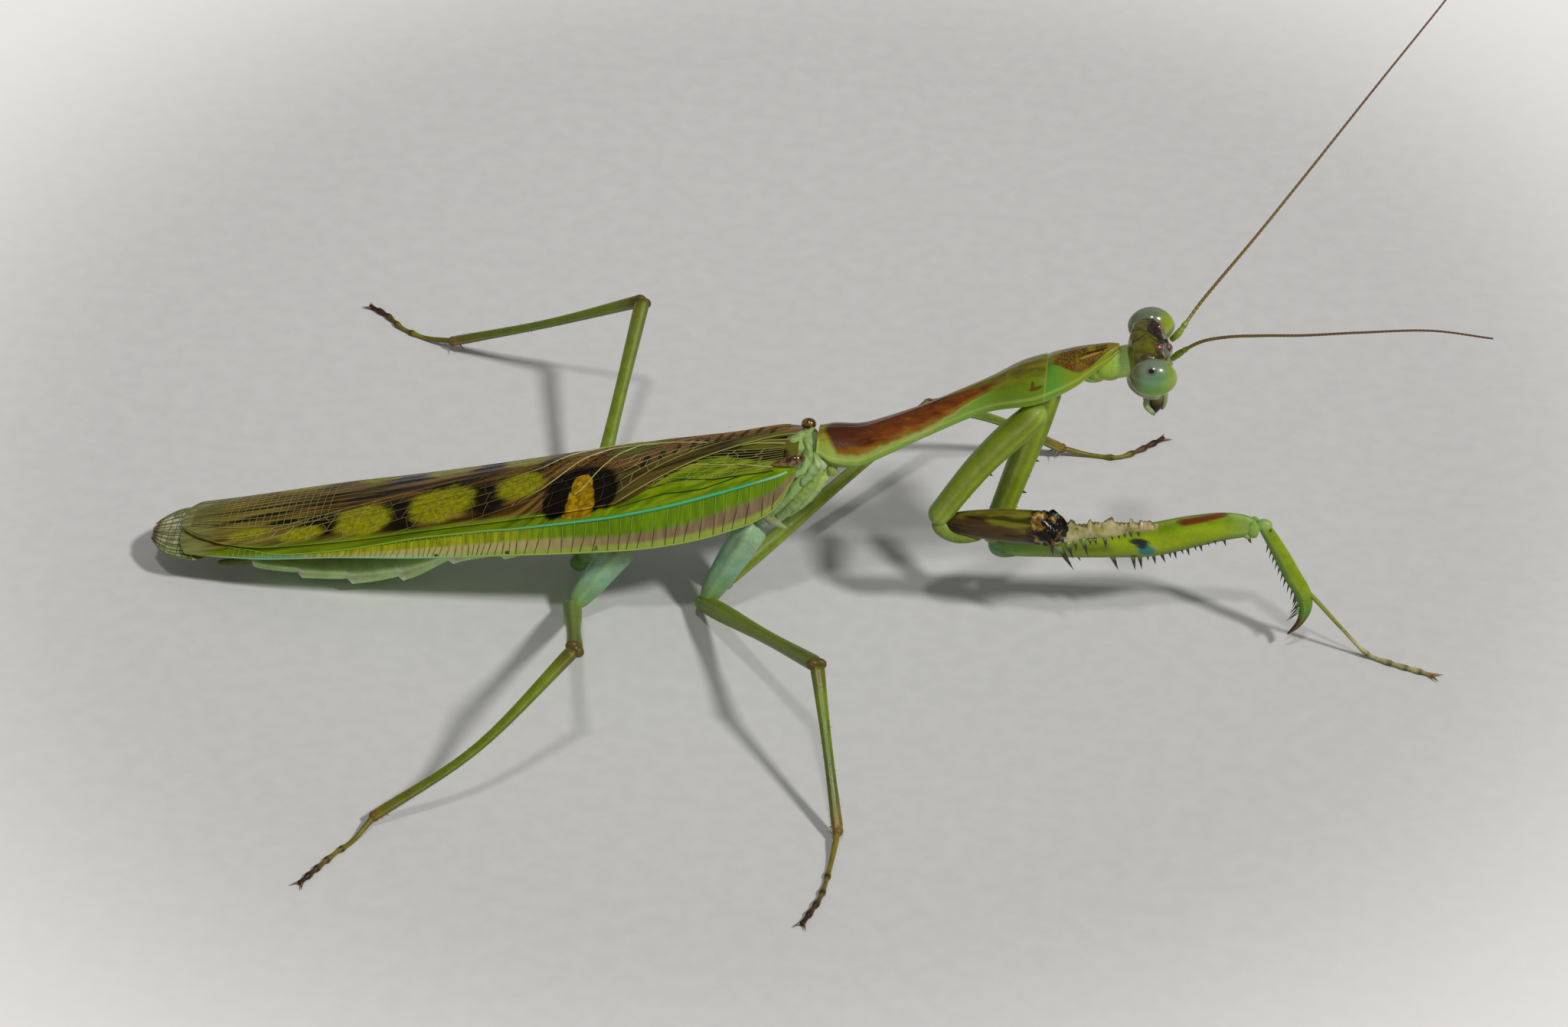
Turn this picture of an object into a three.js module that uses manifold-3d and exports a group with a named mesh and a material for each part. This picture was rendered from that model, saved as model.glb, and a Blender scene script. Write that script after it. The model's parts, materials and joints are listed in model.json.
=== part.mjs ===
// A praying mantis, life size and still, standing on its four walking legs and one foreleg.
// Millimetres. +X points to the head, +Y to the insect's left, +Z up, and the feet rest at z = 0.
// The right foreleg is an injured one: its thigh ends torn, with a strip of skin and a few thorns left.

import * as THREE from "three";
import { mergeVertices } from "three/addons/utils/BufferGeometryUtils.js";
import Module from "manifold-3d";

const wasm = await Module();
wasm.setup();

// ---------- driving dimensions ----------

const CENTRE = [1.1, -0.07, 0];     // the middle of the whole insect's box, brought to the origin
const GAP = 0.3;                    // clearance between neighbouring pieces
const MEMBRANE = 0.5;               // thickness of a wing
const TIP_MEMBRANE = 0.28;          // thickness of a wing at its tip
const THINS_FROM = -40;             // where along X the wings begin to thin
const THINS_TO = -46;
const VEIN = 0.14;                  // height of a main vein above its membrane
const FLOOR = 0;

// Stations along the body: [x, height of the widest level, half width, rise above it, depth below it].
const PROTHORAX = [
  [2.7, 15.9, 1.5, 1.1, 1.4],
  [3.6, 15.6, 1.9, 1.6, 1.5],
  [5.6, 15.5, 2.0, 1.9, 1.1],
  [7.4, 16.3, 1.8, 1.9, 0.9],
  [10.2, 17.9, 1.4, 1.8, 0.8],
  [13.6, 20.0, 1.35, 1.7, 0.8],
  [15.3, 21.0, 1.6, 1.7, 0.9],
  [17.0, 21.8, 2.15, 2.0, 1.0],
  [18.4, 22.3, 2.35, 2.15, 1.1],
  [20.0, 23.0, 2.05, 2.15, 1.0],
  [21.4, 23.8, 1.7, 1.9, 0.8],
  [22.6, 24.8, 1.25, 1.25, 0.4],
  [23.6, 25.5, 0.8, 0.85, 0.25],
  [24.2, 26.0, 0.35, 0.45, 0.15],
];
const THORAX = [
  [2.4, 15.0, 1.4, 0.9, 1.2],
  [1.3, 14.2, 2.1, 1.2, 2.1],
  [0.0, 12.7, 2.4, 1.7, 2.4],
  [-1.8, 11.4, 2.5, 1.25, 2.6],
  [-4.5, 10.4, 2.5, 1.3, 2.5],
  [-8.5, 8.9, 2.6, 1.75, 2.3],
  [-11.5, 8.0, 2.6, 1.75, 2.2],
  [-13.0, 7.6, 2.4, 1.65, 1.9],
];
const ABDOMEN = [
  [-13.3, 7.5, 2.3, 1.3, 1.8],
  [-17.0, 6.7, 2.6, 1.4, 1.8],
  [-21.0, 5.8, 2.8, 1.3, 1.7],
  [-24.5, 5.1, 2.8, 1.2, 1.7],
  [-28.0, 3.7, 2.9, 1.6, 2.2],
  [-32.0, 2.8, 2.9, 1.4, 2.1],
  [-36.0, 2.3, 2.4, 0.9, 1.6],
  [-39.0, 2.0, 1.8, 0.6, 1.1],
  [-41.0, 1.8, 1.0, 0.3, 0.6],
];
const NECK_PATH = [[22.0, 0, 23.8], [23.6, 0, 24.6], [25.0, 0, 25.1]];
const NECK_ROWS = [[0, 0.6, 0.5], [0.2, 0.95, 0.8], [0.6, 1.2, 1.1], [1, 1.2, 1.1]];
const BELLY_PLATE = 3.9;            // length of one abdominal plate
const PLATE_STEP = 0.16;            // how far each plate's hind edge stands out

// The folded wings' common roof: [x, height of the side bend, half width at the bend, rise of the
// midline above the bend, drop of the narrow side field below it, and how far that field leans out].
const ROOF = [
  [1.2, 15.4, 2.6, 0.9, 0.8, 0.3],
  [-0.4, 15.0, 3.1, 1.0, 3.1, 0.5],
  [-4.0, 13.7, 3.5, 1.3, 3.7, 0.8],
  [-9.0, 12.15, 4.2, 1.5, 3.5, 0.7],
  [-15.0, 10.4, 4.5, 1.5, 2.75, 0.5],
  [-21.0, 8.8, 4.5, 1.5, 1.95, 0.5],
  [-27.0, 7.3, 4.4, 1.4, 1.3, 0.5],
  [-33.0, 5.85, 4.45, 1.3, 0.5, 0.3],
  [-38.5, 4.65, 4.15, 1.1, 0.3, 0.15],
  [-42.0, 4.0, 3.75, 0.9, 0.15, 0.1],
  [-43.6, 3.75, 3.5, 0.8, 0.12, 0.08],
  [-45.2, 3.55, 3.2, 0.65, 0.1, 0.06],
  [-46.4, 3.5, 2.85, 0.45, 0.1, 0.05],
  [-47.4, 3.45, 1.9, 0.3, 0.1, 0.05],
  [-48.1, 3.4, 0.8, 0.15, 0.1, 0.05],
];
const FOREWING = { base: 1.2, tip: -45.7, steps: 19, roundsFrom: -43.2, blunt: 0.45 };
const HINDWING = { base: -2.4, tip: -48.1, steps: 18, edge: 0.66, spreadsFrom: -44.6, spread: -46.2 };
const TIP_RISE = { from: -46.2, over: 0.6, depth: 0.45 };   // where the hindwings come out from below
const OVERLAP = { from: 1.2, to: -12, start: -0.3, full: 0.86 };   // how far a forewing crosses over

// The head, in its own frame: X' the way it faces, Z' up, origin midway between the eyes.
const HEAD = { place: [26.62, 0, 25.84], roll: 4, yaw: 6 };
const SKULL = [                     // [height, forward shift, half width, front depth, back depth]
  [1.75, -0.4, 1.35, 0.5, 0.9],
  [1.58, -0.3, 2.05, 0.85, 1.3],
  [1.1, -0.1, 2.5, 1.0, 1.6],
  [0.3, 0, 2.7, 1.3, 1.8],
  [-0.8, 0.05, 2.65, 1.35, 1.8],
  [-1.8, 0.1, 2.4, 1.2, 1.85],
  [-2.55, 0.15, 2.05, 0.95, 1.85],
  [-3.1, 0.3, 1.5, 0.7, 1.4],
  [-3.6, 0.45, 0.95, 0.5, 0.85],
];
const EYE = { centre: [0, 3.0, 0.15], radii: [1.7, 1.22, 1.42] };
const OCELLI = [[1.1, 0, 0.5], [0.55, 0.62, 1.1], [0.55, -0.62, 1.1]];
const OCELLUS_RADIUS = 0.36;
const FEELER_BASE = [1.4, 1.1, 0.4];
const SOCKET_RADIUS = 0.38;
const LABRUM = {
  path: [[0.95, 0, -3.2], [1.0, 0, -4.1], [0.85, 0, -5.0]],
  rows: [[0, 0.5, 0.2], [0.1, 0.8, 0.3], [0.6, 0.75, 0.3], [0.9, 0.5, 0.25], [1, 0.25, 0.15]],
};
const CHIN = {
  path: [[-0.1, 0, -3.3], [-0.1, 0, -4.1], [0.1, 0, -5.0]],
  rows: [[0, 0.5, 0.35], [0.12, 0.7, 0.5], [0.6, 0.6, 0.4], [1, 0.3, 0.2]],
};
const JAW = {
  path: [[0.45, 0.65, -3.3], [0.4, 0.6, -4.3], [0.25, 0.2, -5.45]], sides: 7,
  rows: [[0, 0.3, 0.45], [0.15, 0.42, 0.55], [0.6, 0.36, 0.45], [1, 0.15, 0.2]],
};
const PALP = {
  path: [[-0.1, 0.6, -3.4], [-0.3, 0.85, -4.2], [-0.1, 0.65, -4.9]], sides: 6,
  rows: [[0, 0.25], [0.12, 0.32], [0.5, 0.3], [0.9, 0.26], [1, 0.14]],
};

// Feelers: points from the scape outward.
const FEELERS = {
  left: [[28.33, 1.15, 26.9], [29.76, 2.6, 28.72], [33.3, 5.4, 32.8], [36.3, 8, 36.3], [41.2, 12, 42.3],
    [45.5, 15.5, 47.5], [47, 16.7, 49.5]],
  right: [[28.58, -1.15, 26.75], [30.1, -2.3, 28.67], [31.9, -3.5, 30.05], [34.6, -5.4, 31.7],
    [37.3, -7.4, 33.3], [41.5, -10.2, 35.8], [46.2, -13.1, 38.3], [50.3, -15.9, 39.9]],
};
const FEELER_RADIUS = 0.27;

// Walking legs: joints in order, with the tibia's bow and the toes' path along the floor.
const WALKING_LEGS = {
  midleg_right: {
    base: [-2.0, -1.8, 9.4], trochanter: [-5.8, -1.5, 1.35], knee: [4.8, -18.5, 9.6],
    heel: [7.3, -26.3, 0.9], toes: [[7.15, -29.4], [6.9, -32.8], [6.4, -34.6], [5.95, -36.0]],
    bow: [0, 0, 0.05],
  },
  midleg_left: {
    base: [-2.0, 1.8, 9.4], trochanter: [-4.7, 1.5, 1.35], knee: [9.1, 17.8, 7.6],
    heel: [18.8, 22.6, 0.9], toes: [[20.9, 22.95], [23.2, 22.9], [24.5, 23.8], [26.6, 26.0]],
    bow: [0.2, 0.2, 0.3],
  },
  hindleg_right: {
    base: [-11.6, -2.3, 7.0], trochanter: [-15.5, -3.3, 1.35], knee: [-11.9, -22.7, 12.5],
    heel: [-25.6, -28.9, 0.9], toes: [[-26.7, -30.9], [-27.8, -32.7], [-28.9, -34.8], [-29.6, -36.2]],
    bow: [0.3, -1.0, -0.6],
  },
  hindleg_left: {
    base: [-11.6, 2.3, 7.0], trochanter: [-15.9, 2.4, 1.35], knee: [-14.05, 23.0, 11.6],
    heel: [-30.8, 31.0, 0.9], toes: [[-33.4, 32.2], [-35.4, 33.3], [-36.9, 34.9], [-38.6, 36.1]],
    bow: [0, 0, -0.25],
  },
};
const COXA_RADII = [0.95, 1.05, 0.75, 0.6];
const TROCHANTER_RADIUS = 0.72;
const FEMUR_RADII = [0.66, 0.62, 0.52, 0.56];
const KNEE_RADIUS = 0.66;
const TIBIA_RADII = [0.46, 0.4, 0.34, 0.38];
const HEEL_RADIUS = 0.42;
const TOE_RADIUS = 0.27;
const TOE_PADS = [0.42, 0.63, 0.78, 0.9];      // places of the swollen joints along a tarsus

// Grasping forelegs.
const FORE_RIGHT = {
  base: [19.0, -1.7, 21.6], trochanter: [11.1, -1.5, 10.3], bow: [-0.35, 0, 0.2],
  thigh: [[11.1, -1.5, 10.3], [15.5, -1.6, 10.75], [21.3, -1.65, 10.8]],
};
const FORE_LEFT = {
  base: [19.4, 1.7, 21.4], trochanter: [15.1, 1.2, 6.9], bow: [0, 0, 0],
  thigh: [[15.1, 1.2, 6.9], [19.3, 1.2, 7.5], [23.2, 1.2, 7.95], [27.2, 1.2, 8.5], [30.0, 1.25, 9.4],
    [32.6, 1.3, 10.1], [34.9, 1.3, 10.45]],
};
const FORE_COXA_RADII = [0.9, 1.1, 1.0, 0.75];
const FORE_FEMUR = [                // [place along it, half width, above, below]
  [0.0, 0.45, 0.5, 0.5],
  [0.04, 0.75, 0.85, 0.9],
  [0.2, 0.85, 1.2, 1.25],
  [0.42, 0.85, 1.35, 1.4],
  [0.6, 0.8, 1.4, 1.45],
  [0.76, 0.7, 1.35, 1.35],
  [0.88, 0.6, 1.2, 1.15],
  [0.96, 0.5, 0.85, 0.95],
  [1.0, 0.35, 0.45, 0.5],
];
const STUMP = [
  [0.0, 0.45, 0.5, 0.6],
  [0.06, 0.7, 0.8, 0.95],
  [0.2, 0.8, 1.05, 1.1],
  [0.45, 0.85, 1.3, 1.35],
  [0.75, 0.85, 1.45, 1.4],
  [0.93, 0.8, 1.3, 1.35],
  [1.0, 0.5, 0.8, 0.9],
];
// Thorns of the grasping legs: [share of the way along the thigh, length, lean ahead].
const INNER_THORNS = {
  count: 13, first: 0.5, last: 0.93, longest: 0.95, shortest: 0.45, alternate: 0.7, lean: 0.35,
};
const OUTER_THORNS = [
  [0.47, 1.25, 0.3], [0.57, 1.1, 0.35], [0.66, 0.9, 0.35], [0.77, 0.8, 0.35], [0.92, 0.7, 0.1],
];
const TORN_THORNS = [[0.86, 0.8, 0.5], [0.9, 1.9, 0.65], [0.945, 1.2, 0.5], [0.98, 0.9, 0.3]];
const STRIP_THORNS = [
  [0.24, 1.2, 0.2], [0.35, 0.55, 0.3], [0.45, 0.8, 0.3], [0.56, 0.45, 0.3], [0.66, 0.4, 0.3],
];
const TIBIA_TEETH = { count: 11, first: 0.12, last: 0.7, reach: 1.05, lean: 0.4 };
const COXA_WARTS = [0.35, 0.55, 0.75];         // places of the small pointed warts along a coxa
const SPLINTERS = [[0.9, 0.2, 0.8], [1.3, -0.2, 0.2], [1.0, 0.1, -0.5]];      // [reach, sideways, rise]
const STRIP = {
  from: [20.8, -1.7, 9.3], to: [27.7, -1.9, 11.1], bulge: 0.3,
  heights: [2.1, 2.1, 1.7, 1.9, 1.45, 1.75, 1.2, 1.35, 0.95, 0.95, 0.5],
};
const TIBIA_PATH = [
  [35.6, 1.2, 10.0], [36.6, 1.0, 8.4], [37.7, 0.7, 6.5], [38.6, 0.45, 5.0], [38.75, 0.25, 3.7],
  [38.35, 0.05, 2.6], [37.6, -0.1, 1.7],
];
const TIBIA_ROWS = [                // [place along it, half width, above, below], down to the claw
  [0, 0.4], [0.06, 0.55, 0.5, 0.55], [0.3, 0.5, 0.5, 0.55], [0.55, 0.48, 0.45, 0.5],
  [0.72, 0.42, 0.42, 0.42], [0.84, 0.3], [0.93, 0.2], [1, 0.07],
];
const FORE_TOES = [
  [39.45, 0.4, 4.75], [41.6, 0.15, 2.4], [43.6, -0.1, 0.45], [45.5, -0.8, 0.27], [47.6, -1.5, 0.27],
  [48.7, -1.9, 0.27],
];

// ---------- helpers ----------

const LEFTWARD = new THREE.Vector3(0, 1, 0);
const UPWARD = new THREE.Vector3(0, 0, 1);
const vector = ([x, y, z]) => new THREE.Vector3(x, y, z);
const between = (a, b, t) => a + (b - a) * t;
const clamp01 = (t) => Math.min(1, Math.max(0, t));

/** Smooth values between the rows of a table whose first column is the place. */
function smoothRow(table, place) {
  const rising = table[1][0] > table[0][0];
  let k = 0;
  while (k < table.length - 2 && (rising ? place > table[k + 1][0] : place < table[k + 1][0])) k += 1;
  const rows = [table[Math.max(0, k - 1)], table[k], table[k + 1], table[Math.min(table.length - 1, k + 2)]];
  const t = clamp01((place - rows[1][0]) / (rows[2][0] - rows[1][0]));
  return rows[1].map((_, column) => {
    const [before, here, next, after] = rows.map((row) => row[column]);
    const span = rows[2][0] - rows[1][0];
    const leave = ((next - before) / (rows[2][0] - rows[0][0])) * span;
    const arrive = ((after - here) / (rows[3][0] - rows[1][0])) * span;
    const t2 = t * t;
    const t3 = t2 * t;
    const placed = here * (2 * t3 - 3 * t2 + 1) + next * (3 * t2 - 2 * t3);
    return placed + leave * (t3 - 2 * t2 + t) + arrive * (t3 - t2);
  });
}

/** A closed mesh with shared corners, no empty faces and every face pointing out. */
function closed(geometry) {
  geometry.deleteAttribute("normal");
  geometry.deleteAttribute("uv");
  const welded = mergeVertices(geometry, 1e-4);
  const corners = welded.attributes.position;
  const index = welded.index.array;
  const faces = [];
  let volume = 0;
  const [a, b, c] = [new THREE.Vector3(), new THREE.Vector3(), new THREE.Vector3()];
  for (let i = 0; i < index.length; i += 3) {
    const face = [index[i], index[i + 1], index[i + 2]];
    if (new Set(face).size < 3) continue;
    a.fromBufferAttribute(corners, face[0]);
    b.fromBufferAttribute(corners, face[1]);
    c.fromBufferAttribute(corners, face[2]);
    volume += a.dot(b.cross(c));
    faces.push(face);
  }
  welded.setIndex(faces.flatMap(([p, q, r]) => (volume > 0 ? [p, q, r] : [p, r, q])));
  return welded;
}

/** A turned body whose rings follow the given frames and whose two ends are closed. */
function turned(frames, sides) {
  const outline = frames.map((_, k) => new THREE.Vector2(1, k));
  outline.unshift(new THREE.Vector2(0, 0));
  outline.push(new THREE.Vector2(0, frames.length - 1));
  const geometry = new THREE.LatheGeometry(outline, sides);
  const position = geometry.attributes.position;
  for (let i = 0; i < position.count; i += 1) {
    const frame = frames[Math.round(position.getY(i))];
    const sideways = position.getX(i) * frame.wide;
    const upward = position.getZ(i) * (position.getZ(i) > 0 ? frame.above : frame.below);
    const point = frame.centre.clone().addScaledVector(frame.across, sideways);
    point.addScaledVector(frame.up, upward);
    position.setXYZ(i, point.x, point.y, point.z);
  }
  return closed(geometry);
}

/** A body along X from stations of [x, level, half width, rise, depth], grown on every side if asked. */
function trunk(stations, sides, grow = 0) {
  const last = stations.length - 1;
  const onward = Math.sign(stations[last][0] - stations[0][0]);
  return turned(stations.map(([x, level, wide, above, below], k) => {
    const stretch = grow * onward * ((k === last) - (k === 0));
    return {
      centre: new THREE.Vector3(x + stretch, 0, level), across: LEFTWARD, up: UPWARD,
      wide: wide + grow, above: above + grow, below: below + grow,
    };
  }), sides);
}

/** A limb along a curve; rows give [place along it, half width, above, below]. */
function limb(points, rows, sides = 8, across = LEFTWARD) {
  const curve = new THREE.CatmullRomCurve3(points.map(vector), false, "centripetal");
  return turned(rows.map(([at, wide, above, below]) => {
    const along = curve.getTangentAt(at);
    const sideways = across.clone().addScaledVector(along, -across.dot(along)).normalize();
    return {
      centre: curve.getPointAt(at), across: sideways, up: new THREE.Vector3().crossVectors(along, sideways),
      wide, above: above ?? wide, below: below ?? above ?? wide,
    };
  }), sides);
}

/** A straight or bowed round limb between two joints, with its radii spread evenly and soft ends. */
function shaft(from, to, radii, { sides = 8, bow = [0, 0, 0] } = {}) {
  const middle = vector(from).lerp(vector(to), 0.5).add(vector(bow));
  const last = radii.length - 1;
  const rows = radii.map((radius, k) => [between(0.05, 0.95, k / last), radius]);
  rows.unshift([0, radii[0] * 0.6]);
  rows.push([1, radii[last] * 0.6]);
  return limb([from, middle.toArray(), to], rows, sides);
}

/** A thorn or claw from a root sunk in its limb to its tip. */
function thorn(root, tip, radius, sides = 5) {
  const axis = tip.clone().sub(root);
  const cone = new THREE.ConeGeometry(radius, axis.length(), sides);
  cone.translate(0, axis.length() / 2, 0);
  cone.applyQuaternion(new THREE.Quaternion().setFromUnitVectors(LEFTWARD, axis.normalize()));
  cone.translate(root.x, root.y, root.z);
  return closed(cone);
}

function ball(centre, radii, sides = 12, rings = 8) {
  const sphere = new THREE.SphereGeometry(1, sides, rings);
  sphere.scale(...radii);
  sphere.translate(...centre);
  return closed(sphere);
}

/** A thin curved sheet, its two faces split alike, from a grid of points with ridge heights. */
function sheet(grid, thickness, facing = new THREE.Vector3(0, 0, 1)) {
  const rows = grid.length;
  const lines = grid[0].length;
  const top = [];
  const bottom = [];
  for (let i = 0; i < rows; i += 1) {
    for (let j = 0; j < lines; j += 1) {
      const { point, ridge } = grid[i][j];
      const along = grid[Math.min(i + 1, rows - 1)][j].point.clone().sub(grid[Math.max(i - 1, 0)][j].point);
      const over = grid[i][Math.min(j + 1, lines - 1)].point.clone().sub(grid[i][Math.max(j - 1, 0)].point);
      const normal = along.cross(over).normalize();
      if (normal.dot(facing) < 0) normal.negate();
      top.push(point.clone().addScaledVector(normal, ridge));
      bottom.push(point.clone().addScaledVector(normal, -thickness(point.x)));
    }
  }
  const corner = (i, j) => i * lines + j;
  const faces = [];
  const quad = (a, b, c, d) => faces.push(a, b, c, a, c, d);
  const below = top.length;
  for (let i = 0; i < rows - 1; i += 1) {
    for (let j = 0; j < lines - 1; j += 1) {
      quad(corner(i, j), corner(i + 1, j), corner(i + 1, j + 1), corner(i, j + 1));
      faces.push(below + corner(i, j), below + corner(i + 1, j + 1), below + corner(i + 1, j));
      faces.push(below + corner(i, j), below + corner(i, j + 1), below + corner(i + 1, j + 1));
    }
  }
  const rim = [];
  for (let i = 0; i < rows; i += 1) rim.push(corner(i, 0));
  for (let j = 1; j < lines; j += 1) rim.push(corner(rows - 1, j));
  for (let i = rows - 2; i >= 0; i -= 1) rim.push(corner(i, lines - 1));
  for (let j = lines - 2; j > 0; j -= 1) rim.push(corner(0, j));
  rim.forEach((here, k) => {
    const next = rim[(k + 1) % rim.length];
    quad(next, here, below + here, below + next);
  });
  const geometry = new THREE.BufferGeometry().setFromPoints([...top, ...bottom]);
  geometry.setIndex(faces);
  return closed(geometry);
}

/** manifold-3d's solid of a closed mesh. */
function solid(geometry) {
  return new wasm.Manifold(new wasm.Mesh({
    numProp: 3,
    vertProperties: new Float32Array(geometry.attributes.position.array),
    triVerts: new Uint32Array(geometry.index.array),
  }));
}

/** The pieces fused into one closed body, less the cuts; only the largest surface is kept. */
function fused(pieces, cuts = []) {
  let body = pieces.map(solid).reduce((whole, piece) => whole.add(piece));
  for (const cut of cuts) body = body.subtract(solid(cut));
  const largest = body.simplify(0.004).decompose().sort((a, b) => b.volume() - a.volume())[0];
  const mesh = largest.getMesh();
  const geometry = new THREE.BufferGeometry();
  geometry.setAttribute("position", new THREE.BufferAttribute(new Float32Array(mesh.vertProperties), 3));
  geometry.setIndex([...mesh.triVerts]);
  return geometry;
}

/** Everything below the floor, for cutting feet flat. */
function underfloor() {
  const slab = new THREE.BoxGeometry(200, 200, 10);
  slab.translate(0, 0, FLOOR - 5);
  return closed(slab);
}

const model = new THREE.Group();
const insect = new THREE.Group();
insect.position.set(-CENTRE[0], -CENTRE[1], -CENTRE[2]);
model.add(insect);

function place(name, geometry, colour, roughness = 0.5) {
  const skin = new THREE.MeshStandardMaterial({ color: colour, roughness, metalness: 0 });
  const mesh = new THREE.Mesh(geometry, skin);
  mesh.name = name;
  insect.add(mesh);
  return mesh;
}

// ---------- head ----------

const headTurn = new THREE.Matrix4().makeRotationFromEuler(
  new THREE.Euler(THREE.MathUtils.degToRad(HEAD.roll), 0, THREE.MathUtils.degToRad(HEAD.yaw), "ZYX"));
headTurn.setPosition(...HEAD.place);

function skull(grow = 0) {
  return turned(SKULL.map(([height, shift, wide, above, below]) => ({
    centre: new THREE.Vector3(shift, 0, height), across: LEFTWARD, up: new THREE.Vector3(1, 0, 0),
    wide: wide + grow, above: above + grow, below: below + grow,
  })), 14);
}

function eyeball(side, grow = 0) {
  const [x, y, z] = EYE.centre;
  return ball([x, side * y, z], EYE.radii.map((radius) => radius + grow), 16, 10);
}

function mouthparts() {
  const labrum = limb(LABRUM.path, LABRUM.rows, 8);
  const chin = limb(CHIN.path, CHIN.rows, 8);
  const pairs = [JAW, PALP].flatMap(({ path, rows, sides }) => [1, -1].map((side) => (
    limb(path.map(([x, y, z]) => [x, side * y, z]), rows, sides))));
  return [labrum, ...pairs, chin];
}

function ocelli() {
  return OCELLI.map((spot) => ball(spot, [OCELLUS_RADIUS, OCELLUS_RADIUS, OCELLUS_RADIUS], 7, 5));
}

function feelerSocket(side) {
  const [x, y, z] = FEELER_BASE;
  return ball([x, side * y, z], Array(3).fill(SOCKET_RADIUS), 7, 5);
}

function feeler(points) {
  const rows = [[0, 0.18], [0.01, 0.3], [0.05, 0.34], [0.058, 0.26], [0.07, FEELER_RADIUS]];
  for (const at of [0.13, 0.2, 0.28, 0.37, 0.47, 0.58, 0.7, 0.82, 0.92]) {
    rows.push([at, between(FEELER_RADIUS, 0.2, at)]);
  }
  rows.push([1, 0.08]);
  return limb(points, rows, 6);
}

const sockets = [eyeball(1, GAP), eyeball(-1, GAP)];
const headCapsule = fused([skull(), ...ocelli(), feelerSocket(1), feelerSocket(-1)], sockets);
place("head", headCapsule.applyMatrix4(headTurn), 0x7d8a2c);
const chinCut = skull();
chinCut.scale(1.2, 1.2, 1);
chinCut.translate(0, 0, -GAP);
place("mouthparts", fused(mouthparts(), [chinCut]).applyMatrix4(headTurn), 0x8a8a52);
for (const [side, name] of [[1, "left"], [-1, "right"]]) {
  place(`eye_${name}`, eyeball(side).applyMatrix4(headTurn), 0x6fa07c, 0.2);
  place(`antenna_${name}`, feeler(FEELERS[name]), 0x86983f);
}

// ---------- neck, prothorax and thorax ----------

const neckTube = limb(NECK_PATH, NECK_ROWS, 10);
place("neck", fused([neckTube], [trunk(PROTHORAX, 12, GAP), skull(GAP).applyMatrix4(headTurn)]), 0x8fc08a);
place("prothorax", trunk(PROTHORAX, 12), 0x8a5a1e);
place("thorax", trunk(THORAX, 12), 0x86b45a);

// ---------- abdomen: overlapping plates and a pair of short cerci ----------

function abdomenStations() {
  const first = ABDOMEN[0][0];
  const last = ABDOMEN[ABDOMEN.length - 1][0];
  const count = Math.floor((first - last) / BELLY_PLATE);
  const stations = [];
  for (let plate = 0; plate < count; plate += 1) {
    const front = smoothRow(ABDOMEN, first - plate * BELLY_PLATE);
    const back = smoothRow(ABDOMEN, first - (plate + 0.93) * BELLY_PLATE);
    const raised = back.map((value, column) => (column > 1 ? value + PLATE_STEP : value));
    stations.push(front, raised);
  }
  stations.push(ABDOMEN[ABDOMEN.length - 1]);
  return stations;
}

function abdomen() {
  const cerci = [1, -1].map((side) => limb(
    [[-39.6, side * 0.7, 1.7], [-41.4, side * 1.0, 1.5], [-43.0, side * 1.15, 1.3]],
    [[0, 0.3], [0.15, 0.36], [0.6, 0.32], [0.9, 0.24], [1, 0.1]], 6));
  return fused([trunk(abdomenStations(), 12), ...cerci]);
}
place("abdomen", abdomen(), 0x9ccfa0);

// ---------- wings ----------

/** A point of the folded wings' roof; c is 0 on the midline, 1 at the bend and 2 at the outer margin. */
function roofPoint(x, c) {
  const [, bend, half, rise, drop, lean] = smoothRow(ROOF, x);
  const side = Math.sign(c);
  const out = Math.abs(c);
  if (out <= 1) return new THREE.Vector3(x, c * half, bend + rise * (1 - c * c));
  return new THREE.Vector3(x, side * (half + lean * (out - 1)), bend - drop * (out - 1));
}

const thinning = (x) => clamp01((x - THINS_FROM) / (THINS_TO - THINS_FROM));
const wingThickness = (x) => between(MEMBRANE, TIP_MEMBRANE, thinning(x));
const veinHeight = (x) => VEIN * (wingThickness(x) / MEMBRANE);
const layer = (x) => wingThickness(x) + veinHeight(x) + GAP;
const overlap = (x) => between(OVERLAP.start, OVERLAP.full,
  Math.sin(clamp01((x - OVERLAP.from) / (OVERLAP.to - OVERLAP.from)) * (Math.PI / 2)));

// Lines across a forewing: [share of the way from its inner margin to the bend, or 1 + share of the side
// field, and the ridge there as a share of a full vein].
const FOREWING_LINES = [
  [0, 0.3], [0.12, 0], [0.24, 1], [0.38, 0], [0.5, 1], [0.63, 0], [0.75, 1], [0.88, 0], [1, 1],
  [1.35, 0], [1.7, 0], [2, 0.6],
];
const HINDWING_LINES = [[0, 0], [0.2, 1], [0.4, 0], [0.6, 1], [0.8, 0], [1, 0.6]];

/** How far the lower forewing lies under the roof: a full layer where the upper one covers it. */
function lowerWingDepth(x, c) {
  const covered = clamp01(1 - (c - overlap(x) - 0.08) / 0.25);
  return between(0.2, layer(x) + 0.1, covered);
}

/** Grid rows from base to tip; steps are closer together toward the rounded ends. */
function wingPlaces({ base, tip, steps }) {
  const share = (i) => 0.5 - 0.5 * Math.cos((Math.PI * i) / steps);
  return Array.from({ length: steps + 1 }, (_, i) => between(base, tip, share(i)));
}

/** How full a forewing's width is: 1 over most of its length, less at its rounded end. */
function roundedEnd(x) {
  const s = clamp01((x - FOREWING.roundsFrom) / (FOREWING.tip - FOREWING.roundsFrom));
  return between(FOREWING.blunt, 1, Math.sqrt(1 - s * s * s * s));
}

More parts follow.
